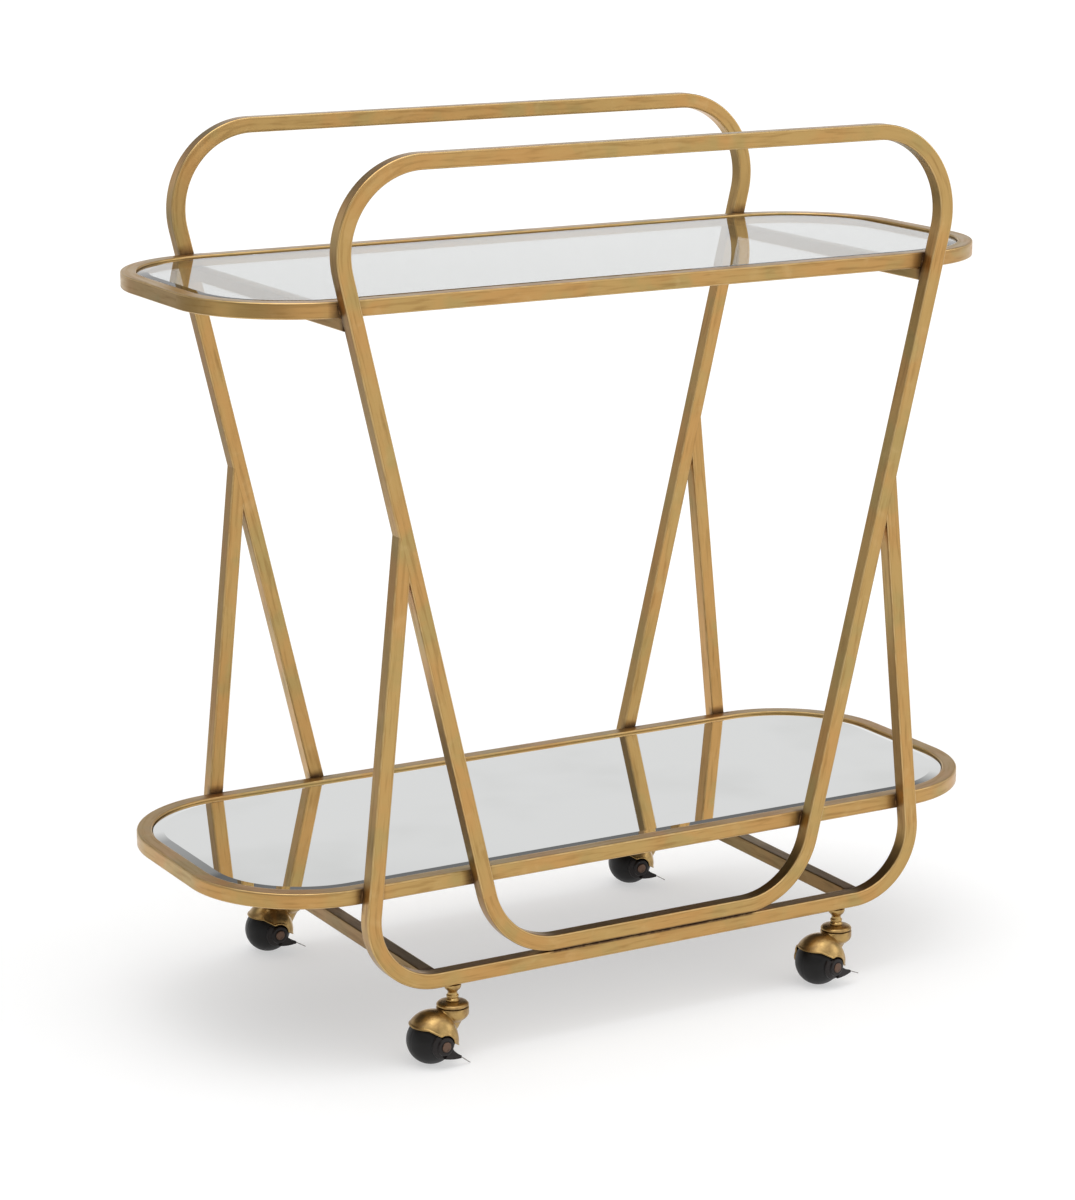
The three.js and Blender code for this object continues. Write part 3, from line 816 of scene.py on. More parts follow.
class Blank:
    """A solid that others are joined to and cut from."""

    def __init__(self, mesh: bpy.types.Mesh) -> None:
        """Starts from a closed mesh.

        Args:
            mesh: The mesh.
        """
        self.piece = bpy.data.objects.new("blank", mesh)
        bpy.context.scene.collection.objects.link(self.piece)

    @classmethod
    def ball(cls, radius: float, centre: Sequence[float], steps: int = 72) -> "Blank":
        """A ball.

        Args:
            radius: Its radius.
            centre: Its centre.
            steps: Chords round it.

        Returns:
            The blank.
        """
        work = bmesh.new()
        place = Matrix.Translation(Vector(centre)) @ Matrix.Rotation(math.radians(90), 4, "X")
        bmesh.ops.create_uvsphere(work, u_segments=steps, v_segments=steps // 2, radius=radius, matrix=place)
        mesh = bpy.data.meshes.new("ball")
        work.to_mesh(mesh)
        work.free()
        return cls(mesh)

    @classmethod
    def block(cls, low: Sequence[float], high: Sequence[float], place: Matrix | None = None) -> "Blank":
        """A block between two corners.

        Args:
            low: Its lowest corner.
            high: Its highest corner.
            place: Where it is then put.

        Returns:
            The blank.
        """
        work = bmesh.new()
        middle = (Vector(low) + Vector(high)) / 2
        size = Matrix.Diagonal((*(Vector(high) - Vector(low)), 1.0))
        made = (place or Matrix()) @ Matrix.Translation(middle) @ size
        bmesh.ops.create_cube(work, size=1.0, matrix=made)
        mesh = bpy.data.meshes.new("block")
        work.to_mesh(mesh)
        work.free()
        return cls(mesh)

    @classmethod
    def turned(cls, profile: Outline, place: Matrix | None = None, steps: int = 64) -> "Blank":
        """A turned solid.

        Args:
            profile: Radius and height of each point, starting and ending on the axis.
            place: Where it is put once turned about Z.
            steps: Chords round it.

        Returns:
            The blank.
        """
        mesh = turned_mesh("turned", profile, steps)
        if place is not None:
            mesh.transform(place)
        return cls(mesh)

    @classmethod
    def slab(cls, outline: Outline, low: float, high: float, place: Matrix) -> "Blank":
        """A flat outline given a thickness.

        Args:
            outline: The outline's points.
            low: Where its thickness starts.
            high: Where it ends.
            place: Where it is then put.

        Returns:
            The blank.
        """
        count = len(outline)
        points = [(x, y, low) for x, y in outline] + [(x, y, high) for x, y in outline]
        faces = [list(range(count))[::-1], [count + k for k in range(count)]]
        faces += [[k, (k + 1) % count, count + (k + 1) % count, count + k] for k in range(count)]
        mesh = turned_out(mesh_of("slab", points, faces))
        mesh.transform(place)
        return cls(mesh)

    def changed(self, other: "Blank", how: Cut) -> "Blank":
        """Joins, cuts or keeps what another blank covers, and uses the other up.

        Args:
            other: The other blank.
            how: Which of the three.

        Returns:
            This blank.
        """
        modifier = self.piece.modifiers.new("change", "BOOLEAN")
        modifier.operation = how.value
        modifier.solver = "EXACT"
        modifier.object = other.piece
        self.settle()
        other.discard()
        return self

    def join(self, other: "Blank") -> "Blank":
        """Adds another blank."""
        return self.changed(other, Cut.JOIN)

    def cut(self, other: "Blank") -> "Blank":
        """Takes another blank away."""
        return self.changed(other, Cut.CUT)

    def keep(self, other: "Blank") -> "Blank":
        """Keeps only what another blank covers."""
        return self.changed(other, Cut.KEEP)

    def settle(self) -> None:
        """Makes the waiting modifiers part of the mesh."""
        graph = bpy.context.evaluated_depsgraph_get()
        mesh = bpy.data.meshes.new_from_object(self.piece.evaluated_get(graph))
        self.piece.modifiers.clear()
        self.piece.data = mesh

    def softened(self, voxel: float, passes: int, share: float) -> "Blank":
        """Rounds the blank all over, as a casting or moulding is.

        Args:
            voxel: The size of the detail that is kept.
            passes: How often the surface is relaxed.
            share: The share of its faces that stay.

        Returns:
            This blank.
        """
        remesh = self.piece.modifiers.new("grain", "REMESH")
        remesh.mode = "VOXEL"
        remesh.voxel_size = voxel
        relax = self.piece.modifiers.new("relax", "SMOOTH")
        relax.factor = 0.5
        relax.iterations = passes
        thin = self.piece.modifiers.new("thin", "DECIMATE")
        thin.ratio = share
        self.settle()
        return self

    def discard(self) -> None:
        """Removes the blank."""
        bpy.data.objects.remove(self.piece)

    def taken(self, name: str) -> bpy.types.Mesh:
        """The finished mesh, with the blank removed.

        Args:
            name: The mesh's name.

        Returns:
            The mesh.
        """
        mesh = self.piece.data
        mesh.name = name
        mesh.materials.clear()
        self.discard()
        return mesh


def turned_mesh(name: str, profile: Outline, steps: int = 72) -> bpy.types.Mesh:
    """A mesh turned about Z.

    Args:
        name: The mesh's name.
        profile: Radius and height of each point; a radius of 0 closes that end.
        steps: Chords round it.

    Returns:
        The closed mesh.
    """
    points: list[tuple[float, float, float]] = []
    rings: list[list[int]] = []
    for radius, height in profile:
        if radius <= 0.0:
            rings.append([len(points)] * steps)
            points.append((0.0, 0.0, height))
            continue
        rings.append(list(range(len(points), len(points) + steps)))
        turns = [2 * math.pi * k / steps for k in range(steps)]
        points += [(radius * math.cos(t), radius * math.sin(t), height) for t in turns]
    closed = profile[0][0] > 0.0
    faces: list[list[int]] = []
    pairs = list(zip(rings, rings[1:])) + ([(rings[-1], rings[0])] if closed else [])
    for low, high in pairs:
        for k in range(steps):
            m = (k + 1) % steps
            face = list(dict.fromkeys((low[k], low[m], high[m], high[k])))
            if len(face) > 2:
                faces.append(face)
    return turned_out(mesh_of(name, points, faces))


def rounded_profile(profile: Outline, radius: float, steps: int = 4) -> list[Flat]:
    """A turned outline with its inner corners rounded.

    Args:
        profile: The outline's points.
        radius: The rounding, less where a stretch is short.
        steps: Chords in each rounding.

    Returns:
        The rounded outline.
    """
    made = [profile[0]]
    for before, here, after in zip(profile, profile[1:], profile[2:]):
        a, b, c = Vector(before), Vector(here), Vector(after)
        reach = min(radius, 0.45 * (a - b).length, 0.45 * (c - b).length)
        start, end = b + (a - b).normalized() * reach, b + (c - b).normalized() * reach
        for step in range(steps + 1):
            t = step / steps
            made.append(tuple(start * (1 - t) ** 2 + b * (2 * t * (1 - t)) + end * t ** 2))
    made.append(profile[-1])
    return made


def rod_profile(radius: float, low: float, high: float) -> list[Flat]:
    """The outline of a plain rod."""
    return [(0.0, low), (radius, low), (radius, high), (0.0, high)]


# --------------------------------------------------------------------------------------- frame
@dataclass(frozen=True)
class Leg:
    """A leaning leg's centreline: its half spread at one height, and its lean."""

    spread: float
    height: float
    lean: float

    def x(self, z: float) -> float:
        """The half spread at a height."""
        return self.spread + self.lean * (z - self.height)

    def slope(self) -> float:
        """How much wider than the tube its level cut is."""
        return math.hypot(1.0, self.lean)


@dataclass
class TubeFrame:
    """The cart's welded frame: two handle loops, two base frames and four cross bars."""

    handle_leg: Leg = Leg(0.2725, 0.5, 0.238)
    base_leg: Leg = Leg(0.3075, 0.3, -0.102)
    handle_bend: float = 84.4 * MM
    foot_bend: float = 81.5 * MM
    base_bend: float = 70.9 * MM
    bead_radius: float = 1.25 * MM
    ripple_pitch: float = 10 * MM
    patches: list[Patch] = field(default_factory=list)

    def side(self) -> float:
        """The square tube's side."""
        low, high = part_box("front_handle_loop")
        return high.y - low.y

    def find_welds(self) -> None:
        """Notes every weld's contact patch, which the tubes and the bar ends share."""
        tube = self.side()
        for rim in ("top_shelf_rim", "bottom_shelf_rim"):
            low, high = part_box(rim)
            middle = (low.z + high.z) / 2
            legs = [self.handle_leg] if rim.startswith("top") else [self.handle_leg, self.base_leg]
            for leg in legs:
                for sx in (-1, 1):
                    for face in (low.y, high.y):
                        centre = (sx * leg.x(middle), face, middle)
                        half = (0.5 * tube * leg.slope(), 0.2 * MM, 0.46 * tube)
                        self.patches.append(Patch(centre, half))
        for row in ("front", "back"):
            low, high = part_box(f"{row}_base_frame")
            seam = low.z + tube
            opening = (math.pi / 2 + math.atan(self.handle_leg.lean)) / 2
            run = self.handle_leg.x(seam) - self.foot_bend / math.tan(opening) + 8 * MM
            centre = (0.0, (low.y + high.y) / 2, seam)
            self.patches.append(Patch(centre, (run, tube, 0.9 * MM), reach=1.7 * MM))
        for bar in ("base_cross_bar", "shelf_cross_bar"):
            for hand in ("left", "right"):
                low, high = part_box(f"{bar}_{hand}")
                half = ((high.x - low.x) / 2, 0.2 * MM, (high.z - low.z) / 2)
                for face in (low.y, high.y):
                    centre = ((low.x + high.x) / 2, face, (low.z + high.z) / 2)
                    self.patches.append(Patch(centre, half, reach=7 * MM, strength=0.8))

    def handle_loop(self, row: str) -> Piece:
        """Builds one closed loop of tube, whose top bar is the handle.

        Args:
            row: front or back.

        Returns:
            The loop.
        """
        node = f"{row}_handle_loop"
        low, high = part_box(node)
        tube = self.side()
        foot, top = low.z + tube / 2, high.z - tube / 2
        leg = self.handle_leg
        corners = [
            Corner(-leg.x(foot), foot, self.foot_bend),
            Corner(leg.x(foot), foot, self.foot_bend),
            Corner(leg.x(top), top, self.handle_bend),
            Corner(-leg.x(top), top, self.handle_bend),
        ]
        level = (low.y + high.y) / 2
        section = Section(tube, tube)
        made = BentTube(node + "_tube", Lay.UPRIGHT, level, corners, section, patches=self.patches)
        return dressed(made.build(), GOLD, ROOT, node)

    def base_frame(self, row: str) -> Piece:
        """Builds one U of tube whose legs are mitred against the handle loop.

        Args:
            row: front or back.

        Returns:
            The base frame.
        """
        node = f"{row}_base_frame"
        low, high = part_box(node)
        tube = self.side()
        rail = low.z + tube / 2
        top = high.z - 3.2 * tube
        section = Section(tube, tube)
        leg, handle = self.base_leg, self.handle_leg
        seat = tube / 2 - section.edge

        def mitre(points: np.ndarray, head: np.ndarray) -> np.ndarray:
            """Runs each point on along the leg to the handle leg's side, just inside its rounding."""
            sign = 1.0 if points[:, 0].mean() > 0 else -1.0
            normal = np.array([sign, -handle.lean]) / handle.slope()
            start = np.array([sign * handle.x(0.0), 0.0])
            upward = head if head[1] > 0 else -head
            short = seat - (points - start) @ normal
            return points + np.outer(short / (upward @ normal), upward)

        corners = [
            Corner(-leg.x(top), top),
            Corner(-leg.x(rail), rail, self.base_bend),
            Corner(leg.x(rail), rail, self.base_bend),
            Corner(leg.x(top), top),
        ]
        level = (low.y + high.y) / 2
        made = BentTube(node + "_tube", Lay.UPRIGHT, level, corners, section, closed=False)
        made.patches = self.patches
        made.end_cut = mitre
        return dressed(made.build(), GOLD, ROOT, node)

    def cross_bar(self, kind: str, hand: str) -> Piece:
        """Builds one straight bar between the side frames.

        Args:
            kind: base or shelf.
            hand: left or right.

        Returns:
            The bar.
        """
        node = f"{kind}_cross_bar_{hand}"
        low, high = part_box(node)
        x = (low.x + high.x) / 2
        section = Section(high.x - low.x, high.z - low.z)
        ends = [Corner(x, low.y), Corner(x, high.y)]
        level = (low.z + high.z) / 2
        made = BentTube(node + "_tube", Lay.LEVEL, level, ends, section, closed=False, patches=self.patches)
        # The base bars take the darker copy of the gold, painted shade for their place under the mirror
        # shelf.
        return dressed(made.build(), PAINTED_SHADE_GOLD if kind == "base" else GOLD, ROOT, node)

    def bead(self, leg: Leg, side: int, edge: int, low: float, high: float) -> list[Station]:
        """The line of one rippled bead up a leg's edge, clear of the rim's rounding.

        Args:
            leg: The leg.
            side: -1 for the left leg, 1 for the right.
            edge: -1 for the leg's left edge, 1 for its right.
            low: The rim's underside.
            high: The rim's top.

        Returns:
            Each station's place across, its height and the bead's radius there.
        """
        line: list[Station] = []
        clear = 1.6 * MM
        for i in range(BEAD_STATIONS):
            share = i / (BEAD_STATIONS - 1)
            z = low + clear + share * (high - low - 2 * clear)
            x = side * leg.x(z) + edge * (self.side() / 2 * leg.slope() - 0.3 * MM)
            taper = math.sin(math.pi * min(max(share, 0.04), 0.96)) ** 0.35
            ripple = 1 + 0.13 * math.sin(2.4 * i + 5 * x / self.ripple_pitch)
            line.append((x, z, self.bead_radius * taper * ripple))
        return line

    def weld_beads(self) -> Piece:
        """Builds the rippled beads beside each leg where it is welded to a rim.

        Returns:
            The beads, as one piece.
        """
        points: list[Vector] = []
        faces: list[list[int]] = []
        turns = [2 * math.pi * k / BEAD_SIDES for k in range(BEAD_SIDES)]
        for rim in ("top_shelf_rim", "bottom_shelf_rim"):
            low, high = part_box(rim)
            legs = [self.handle_leg] if rim.startswith("top") else [self.handle_leg, self.base_leg]
            for leg, side, face, edge in product(legs, (-1, 1), (low.y, high.y), (-1, 1)):
                rings: list[list[int]] = []
                for x, z, radius in self.bead(leg, side, edge, low.z, high.z):
                    rings.append([len(points) + k for k in range(BEAD_SIDES)])
                    for turn in turns:
                        offset = Vector((math.cos(turn), math.sin(turn), 0.0)) * radius
                        points.append(Vector((x, face, z)) + offset)
                for a, b in zip(rings, rings[1:]):
                    for k in range(BEAD_SIDES):
                        m = (k + 1) % BEAD_SIDES
                        faces.append([a[k], a[m], b[m], b[k]])
                faces.append(rings[0][::-1])
                faces.append(rings[-1])
        piece = shown(turned_out(mesh_of("rim_weld_beads", points, faces)), "rim_weld_beads", 60.0)
        return dressed(piece, WELD, ROOT)

    def build(self) -> None:
        """Builds the whole frame."""
        self.find_welds()
        for row in ("front", "back"):
            self.handle_loop(row)
            self.base_frame(row)
        for kind in ("base", "shelf"):
            for hand in ("left", "right"):
                self.cross_bar(kind, hand)
        self.weld_beads()

# ------------------------------------------------------------------------------------- shelves
@dataclass
class Shelf:
    """One rimmed shelf with its ledge, its insert and its bumpers."""

    level: str
    insert: str
    finish: Finish
    patches: Sequence[Patch]
    corner: float = 126 * MM
    bevel_width: float = 11 * MM
    bevel_depth: float = 1.1 * MM
    arris: float = 0.25 * MM

    def rim(self) -> Piece:
        """Builds the closed ring of tube round the shelf."""
        node = f"{self.level}_shelf_rim"
        low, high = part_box(node)
        tube = high.z - low.z
        line = RoundedPanel(high.x, high.y, self.corner).inset(tube / 2)
        level = (low.z + high.z) / 2
        section = Section(tube, tube)
        made = BentTube(node + "_tube", Lay.LEVEL, level, line.corners(), section, patches=self.patches)
        return dressed(made.build(), GOLD, ROOT, node)

    def ledge(self) -> Piece:
        """Builds the flat strip inside the rim that carries the insert."""
        node = f"{self.level}_shelf_ledge"
        low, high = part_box(node)
        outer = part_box(f"{self.level}_shelf_rim")[1]
        inside = self.corner - (outer.x - high.x)
        width = 6 * MM
        line = RoundedPanel(high.x, high.y, inside).inset(width / 2)
        section = Section(width, high.z - low.z, edge=0.3 * MM, steps=2)
        level = (low.z + high.z) / 2
        made = BentTube(node + "_strip", Lay.LEVEL, level, line.corners(), section)
        return dressed(made.build(), GOLD, ROOT, node)

    def sheet(self) -> Piece:
        """Builds the bevelled insert."""
        low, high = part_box(self.insert)
        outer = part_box(f"{self.level}_shelf_rim")[1]
        outline = RoundedPanel(high.x, high.y, self.corner - (outer.x - high.x))
        shoulder = high.z - self.bevel_depth
        layers = [
            (self.arris, low.z),
            (0.0, low.z + self.arris),
            (0.0, shoulder - self.arris),
            (self.arris, shoulder),
            (self.bevel_width, high.z),
        ]
        piece = outline.layered(self.insert + "_sheet", layers)
        return dressed(piece, self.finish, ROOT, self.insert)

    def bumpers(self) -> None:
        """Builds the soft discs between ledge and insert."""
        for row in ("front", "back"):
            for hand in ("left", "right"):
                node = f"{self.level}_pad_{row}_{hand}"
                low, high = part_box(node)
                radius, tall = (high.x - low.x) / 2, high.z - low.z
                profile = [(0.0, 0.0), (radius, 0.0), (radius, 0.6 * tall), (0.8 * radius, tall), (0.0, tall)]
                mesh = turned_mesh(node + "_disc", rounded_profile(profile, 0.35 * MM), 32)
                mesh.transform(Matrix.Translation(((low.x + high.x) / 2, (low.y + high.y) / 2, low.z)))
                dressed(shown(mesh, node + "_disc"), BUMPER, ROOT, node)

    def backing(self) -> Piece:
        """Builds the painted sheet behind a mirror."""
        node = f"{self.insert}_backing"
        low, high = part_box(node)
        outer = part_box(f"{self.level}_shelf_rim")[1]
        outline = RoundedPanel(high.x, high.y, self.corner - (outer.x - high.x))
        edge = 0.2 * MM
        layers = [(edge, low.z), (0.0, low.z + edge), (0.0, high.z - edge), (edge, high.z)]
        return dressed(outline.layered(node + "_sheet", layers), BACKING, ROOT, node)

    def build(self) -> None:
        """Builds the whole shelf."""
        self.rim()
        self.ledge()
        self.sheet()
        self.bumpers()
        if self.level == "bottom":
            self.backing()


# ------------------------------------------------------------------------------------- casters
@dataclass
class CasterShapes:
    """The meshes that all casters share, drawn with the stem on Z and the ball out along X.

    The axle runs along Y and the brake is on the +Y side.
    """

    node_corner: str = "front_left"
    trail: float = 27 * MM
    ball_radius: float = 24.6 * MM
    running_gap: float = 0.9 * MM
    wall: float = 1.7 * MM
    dome_radius: float = 27.6 * MM
    dome_shift: float = 2.5 * MM
    dome_lift: float = 2.6 * MM
    back_shift: float = 8 * MM
    back_radius: float = 34.9 * MM
    rim_slope: float = 0.62
    rim_rise: float = 7.6 * MM
    lip_rise: float = 16.5 * MM
    roll_height: float = 1.7 * MM
    roll_out: float = 0.45 * MM
    sweep_gap: float = 1.8 * MM
    trim_gap: float = 1.0 * MM
    travel: tuple[float, float] = (-7.0, 15.0)
    collar_radius: float = 16.6 * MM
    collar_depth: float = 10.5 * MM
    pin_radius: float = 4 * MM
    groove: float = 0.8 * MM
    shoe_radius: float = 13.5 * MM
    shoe_gap: float = 0.65 * MM
    shoe_wall: float = 1.8 * MM
    hub_radius: float = 9.4 * MM
    hub_rise: float = 1.0 * MM
    nose_tip: tuple[float, float] = (-20.6 * MM, 12.4 * MM)
    nose_wall: float = 3 * MM
    tab_end: tuple[float, float] = (-32.4 * MM, 19.6 * MM)

    def on_axle(self) -> Matrix:
        """Puts a piece drawn about Z on the axle, with its Y pointing down."""
        centre = Matrix.Translation((self.trail, 0.0, self.ball_radius))
        return centre @ Matrix.Rotation(math.radians(-90), 4, "X")

    def collar_top(self) -> float:
        """The height of the hood's collar, a little under the bearing."""
        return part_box(f"caster_hood_{self.node_corner}")[1].z - self.groove

    def dome(self, grow: float = 0.0) -> Blank:
        """The hood's dome, grown or shrunk."""
        centre = (self.trail - self.dome_shift, 0.0, self.ball_radius + self.dome_lift)
        behind = (self.trail + self.back_shift, 0.0, self.ball_radius)
        return Blank.ball(self.dome_radius + grow, centre).keep(Blank.ball(self.back_radius + grow, behind))

    def lifted(self, degrees: float) -> Matrix:
        """The turn about the axle that lifts the brake's nose by so many degrees."""
        axle = Matrix.Translation((self.trail, 0.0, self.ball_radius))
        return axle @ Matrix.Rotation(math.radians(degrees), 4, "Y") @ axle.inverted()

    def under(self, rise: float = 0.0, turn: float = 0.0) -> Blank:
        """Everything under the hood's open edge.

        Args:
            rise: How far it is raised.
            turn: The degrees it is then lifted about the axle.

        Returns:
            The blank.
        """
        reach, whole = 4 * self.ball_radius, self.lifted(turn)
        tilt = Matrix.Rotation(-math.atan(self.rim_slope), 4, "Y")
        place = Matrix.Translation((self.trail, 0.0, self.ball_radius + self.rim_rise + rise)) @ tilt
        sloped = Blank.block((-reach, -reach, -reach), (reach, reach, 0.0), whole @ place)
        lip = self.ball_radius + self.lip_rise + rise
        return sloped.keep(Blank.block((-reach, -reach, -reach), (2 * reach, reach, lip), whole))

    def trim(self) -> Blank:
        """What the hood's edge would meet round the brake's hub, anywhere in its travel."""
        inner, outer = self.hub_radius + 0.3 * MM, self.shoe_radius + self.sweep_gap
        high = 2 * self.ball_radius
        ring = Blank.turned([(inner, 0.0), (outer, 0.0), (outer, high), (inner, high)], self.on_axle())
        down, up = self.travel
        return ring.cut(self.under(-self.trim_gap, -up).keep(self.under(-self.trim_gap, -down)))

    def notch(self, grow: float = 0.0) -> Blank:
        """The round notch that clears the brake's hub."""
        radius = self.hub_radius + self.sweep_gap + grow
        return Blank.turned(rod_profile(radius, self.ball_radius / 2, 2 * self.ball_radius), self.on_axle())

    def hood(self) -> bpy.types.Mesh:
        """Builds the hood: dome, rolled edge, collar with its tail, and the far lug."""
        top = self.collar_top()
        tail, low = self.ball_radius - 1.0 * MM, top - self.collar_depth
        shares = [(0.16, 0.0), (0.25, 0.25), (0.39, 0.48), (0.57, 0.78), (0.78, 0.91), (0.94, 1.04)]
        collar = [(0.0, tail)]
        collar += [(r * self.collar_radius, tail + z * (low - tail)) for r, z in shares]
        collar += [(self.collar_radius, low + self.collar_depth / 3), (self.collar_radius, top), (0.0, top)]
        roll = self.dome(self.roll_out).keep(self.under(self.roll_height).join(self.notch(self.roll_height)))
        lug_face = -(self.ball_radius + self.running_gap)
        lug = Blank.turned(rod_profile(8.2 * MM, lug_face - 2.4 * MM, lug_face), self.on_axle())
        root_low, root_high = (-6.6 * MM, -13 * MM, lug_face - 2.3 * MM), (6.6 * MM, 0.0, lug_face)
        root = Blank.block(root_low, root_high, self.on_axle())
        clear = Blank.ball(self.ball_radius + self.running_gap, (self.trail, 0.0, self.ball_radius))
        bore = Blank.turned(rod_profile(3.3 * MM, -2 * self.ball_radius, 0.0), self.on_axle())
        made = self.dome().join(roll).cut(self.under()).cut(self.notch())
        round_off = Blank.ball(1.2 * self.ball_radius, (self.trail, 0.0, self.ball_radius + 0.5 * MM))
        made.join(Blank.turned(rounded_profile(collar, 1.2 * MM))).join(root.keep(round_off).join(lug))
        made.cut(self.dome(-self.wall).join(clear)).cut(bore)
        made.cut(Blank.turned(rod_profile(self.pin_radius + 0.35 * MM, top - 9 * MM, top + 1 * MM)))
        return made.softened(0.42 * MM, 3, 0.3).taken("caster_hood")

    def ball(self) -> bpy.types.Mesh:
        """Builds the ball, with a fine parting line round it and a dished hub at each end."""
        r, hub = self.ball_radius, 3.4 * MM
        face = math.sqrt(r * r - hub * hub)
        profile: list[tuple[float, float]] = [(hub, -face)]
        steps, line = 64, 0.5 * MM
        first = math.asin(face / r)
        for step in range(1, steps):
            turn = -first + 2 * first * step / steps
            dip = 0.22 * MM * math.exp(-((r * turn / line) ** 2))
            profile.append(((r - dip) * math.cos(turn), (r - dip) * math.sin(turn)))
        profile.append((hub, face))
        mesh = turned_mesh("caster_ball", profile, 96)
        mesh.transform(self.on_axle())
        return mesh

    def brake(self) -> bpy.types.Mesh:
        """Builds the brake: a dished shoe with its hub, run out into a pointed nose."""
        floor = self.ball_radius + self.shoe_gap
        face = floor + self.shoe_wall
        tip_x, tip_y = self.nose_tip
        r, half = self.shoe_radius, 1.3 * MM
        lower = curve_points((0.0, r - 0.6 * MM), (tip_x / 2, r + 1.5 * MM), (tip_x, tip_y + half))
        upper = curve_points((tip_x, tip_y - half), (-0.9 * r, 0.55 * r), (-0.6 * r, 0.15 * r))
        nose = Blank.slab(lower + upper, face - self.nose_wall, face, self.on_axle())
        shoe = Blank.ball(face, (self.trail, 0.0, self.ball_radius))
        shoe.keep(Blank.turned(rod_profile(r, 0.0, 2 * self.ball_radius), self.on_axle()))
        hub = [(0.0, floor - 1 * MM), (self.hub_radius, floor - 1 * MM), (self.hub_radius, face + 0.4 * MM)]
        hub += [(self.hub_radius - 1.4 * MM, face + self.hub_rise)]
        hub += [(5.6 * MM, face + self.hub_rise), (5.6 * MM, face + self.hub_rise - 0.5 * MM), (0.0, face)]
        made = shoe.join(nose).cut(Blank.ball(floor, (self.trail, 0.0, self.ball_radius))).cut(self.trim())
        made.join(Blank.turned(rounded_profile(hub, 0.7 * MM), self.on_axle()))
        made.cut(Blank.turned(rod_profile(3.35 * MM, 0.0, 2 * self.ball_radius), self.on_axle()))
        return made.softened(0.3 * MM, 3, 0.3).taken("brake_lever")

    def tab(self) -> bpy.types.Mesh:
        """Builds the thin steel foot tab, with a rounded tip."""
        start, end = Vector(self.nose_tip), Vector(self.tab_end)
        way = (end - start).normalized()
        side = Vector((-way.y, way.x))
        back = start - way * 5 * MM
        half = 0.5 * MM
        outline = [back + side * half]
        for step in range(9):
            turn = math.radians(90 - 180 * step / 8)
            outline.append(end - way * half + (way * math.cos(turn) + side * math.sin(turn)) * half)
        outline.append(back - side * half)
        level = self.ball_radius + self.shoe_gap + self.shoe_wall - self.nose_wall / 2
        flat = Blank.slab([tuple(p) for p in outline], level - 0.9 * MM, level + 0.9 * MM, self.on_axle())
        bevel = flat.piece.modifiers.new("edge", "BEVEL")
        bevel.width = 0.15 * MM
        bevel.segments = 2
        flat.settle()
        return flat.taken("brake_tab")

    def axle(self) -> bpy.types.Mesh:
        """Builds the axle with its domed head in the brake's hub."""
        seat = self.ball_radius + self.shoe_gap + self.shoe_wall + self.hub_rise - 0.5 * MM
        far = -(self.ball_radius + self.running_gap + 2.4 * MM + 0.8 * MM)
        head = 5.3 * MM
        profile = [(0.0, far), (3 * MM, far), (3 * MM, seat), (head, seat), (head, seat + 1.1 * MM)]
        profile += [(0.8 * head, seat + 1.7 * MM), (0.35 * head, seat + 1.9 * MM), (0.0, seat + 1.9 * MM)]
        mesh = turned_mesh("ball_axle", rounded_profile(profile, 0.45 * MM))
        mesh.transform(self.on_axle())
        return mesh

    def stem(self) -> bpy.types.Mesh:
        """Builds the turned stem, from its plain pin to its threaded top."""
        low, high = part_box(f"caster_stem_{self.node_corner}")
        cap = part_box(f"swivel_cap_{self.node_corner}")[1].z
        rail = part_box(f"thread_insert_{self.node_corner}")[0].z - 0.3 * MM
        bell, pin = 9 * MM, self.pin_radius
        shares = [(0.77, 0.016), (0.79, 0.118), (0.59, 0.209), (0.70, 0.257), (0.70, 0.353), (0.57, 0.406)]
        shares += [(0.54, 0.513), (0.62, 0.615), (0.88, 0.733), (0.98, 0.861), (1.0, 0.99)]
        profile = [(0.0, low.z), (pin - 0.8 * MM, low.z), (pin, low.z + 0.8 * MM), (pin, cap + 0.3 * MM)]
        profile += [(r * bell, cap + z * (rail - cap)) for r, z in shares]
        profile += [(pin, rail)]
        threads, height = 9, high.z - rail
        for turn in range(threads):
            profile += [(pin - 0.45 * MM, rail + height * (turn + 0.25) / threads)]
            profile += [(pin, rail + height * (turn + 0.75) / threads)]
        profile += [(0.0, high.z)]
        return turned_mesh("caster_stem", rounded_profile(profile, 0.5 * MM))

    def cap(self) -> bpy.types.Mesh:
        """Builds the domed swivel cap."""
        low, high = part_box(f"swivel_cap_{self.node_corner}")
        r, tall, bore = self.collar_radius, high.z - low.z, self.pin_radius + 0.35 * MM
        shares = [(0.955, 0.0), (0.994, 0.15), (0.976, 0.43), (0.88, 0.74), (0.70, 0.91), (0.48, 1.0)]
        profile = [(bore, low.z)] + [(s * r, low.z + z * tall) for s, z in shares] + [(bore, high.z)]
        return turned_mesh("swivel_cap", rounded_profile(profile, 0.4 * MM), 96)

    def race(self) -> bpy.types.Mesh:
        """Builds the bearing race in the groove under the cap."""
        low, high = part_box(f"swivel_bearing_{self.node_corner}")
        bore, r = self.pin_radius + 0.35 * MM, (high.x - low.x) / 2
        foot = low.z - self.groove
        profile = [(bore, foot), (r, foot), (r + 0.1 * MM, (foot + high.z) / 2), (r, high.z), (bore, high.z)]
        return turned_mesh("swivel_race", profile, 72)


def curve_points(start: Flat, pull: Flat, end: Flat) -> list[Flat]:
    """Points of a curve from start to end, pulled towards a third point.

    Args:
        start: Its first point.
        pull: The point that it bends towards.
        end: Its last point.

    Returns:
        The points.
    """
    a, b, c = Vector(start), Vector(pull), Vector(end)
    shares = [step / 12 for step in range(13)]
    return [tuple(a * (1 - t) ** 2 + b * (2 * t * (1 - t)) + c * t ** 2) for t in shares]


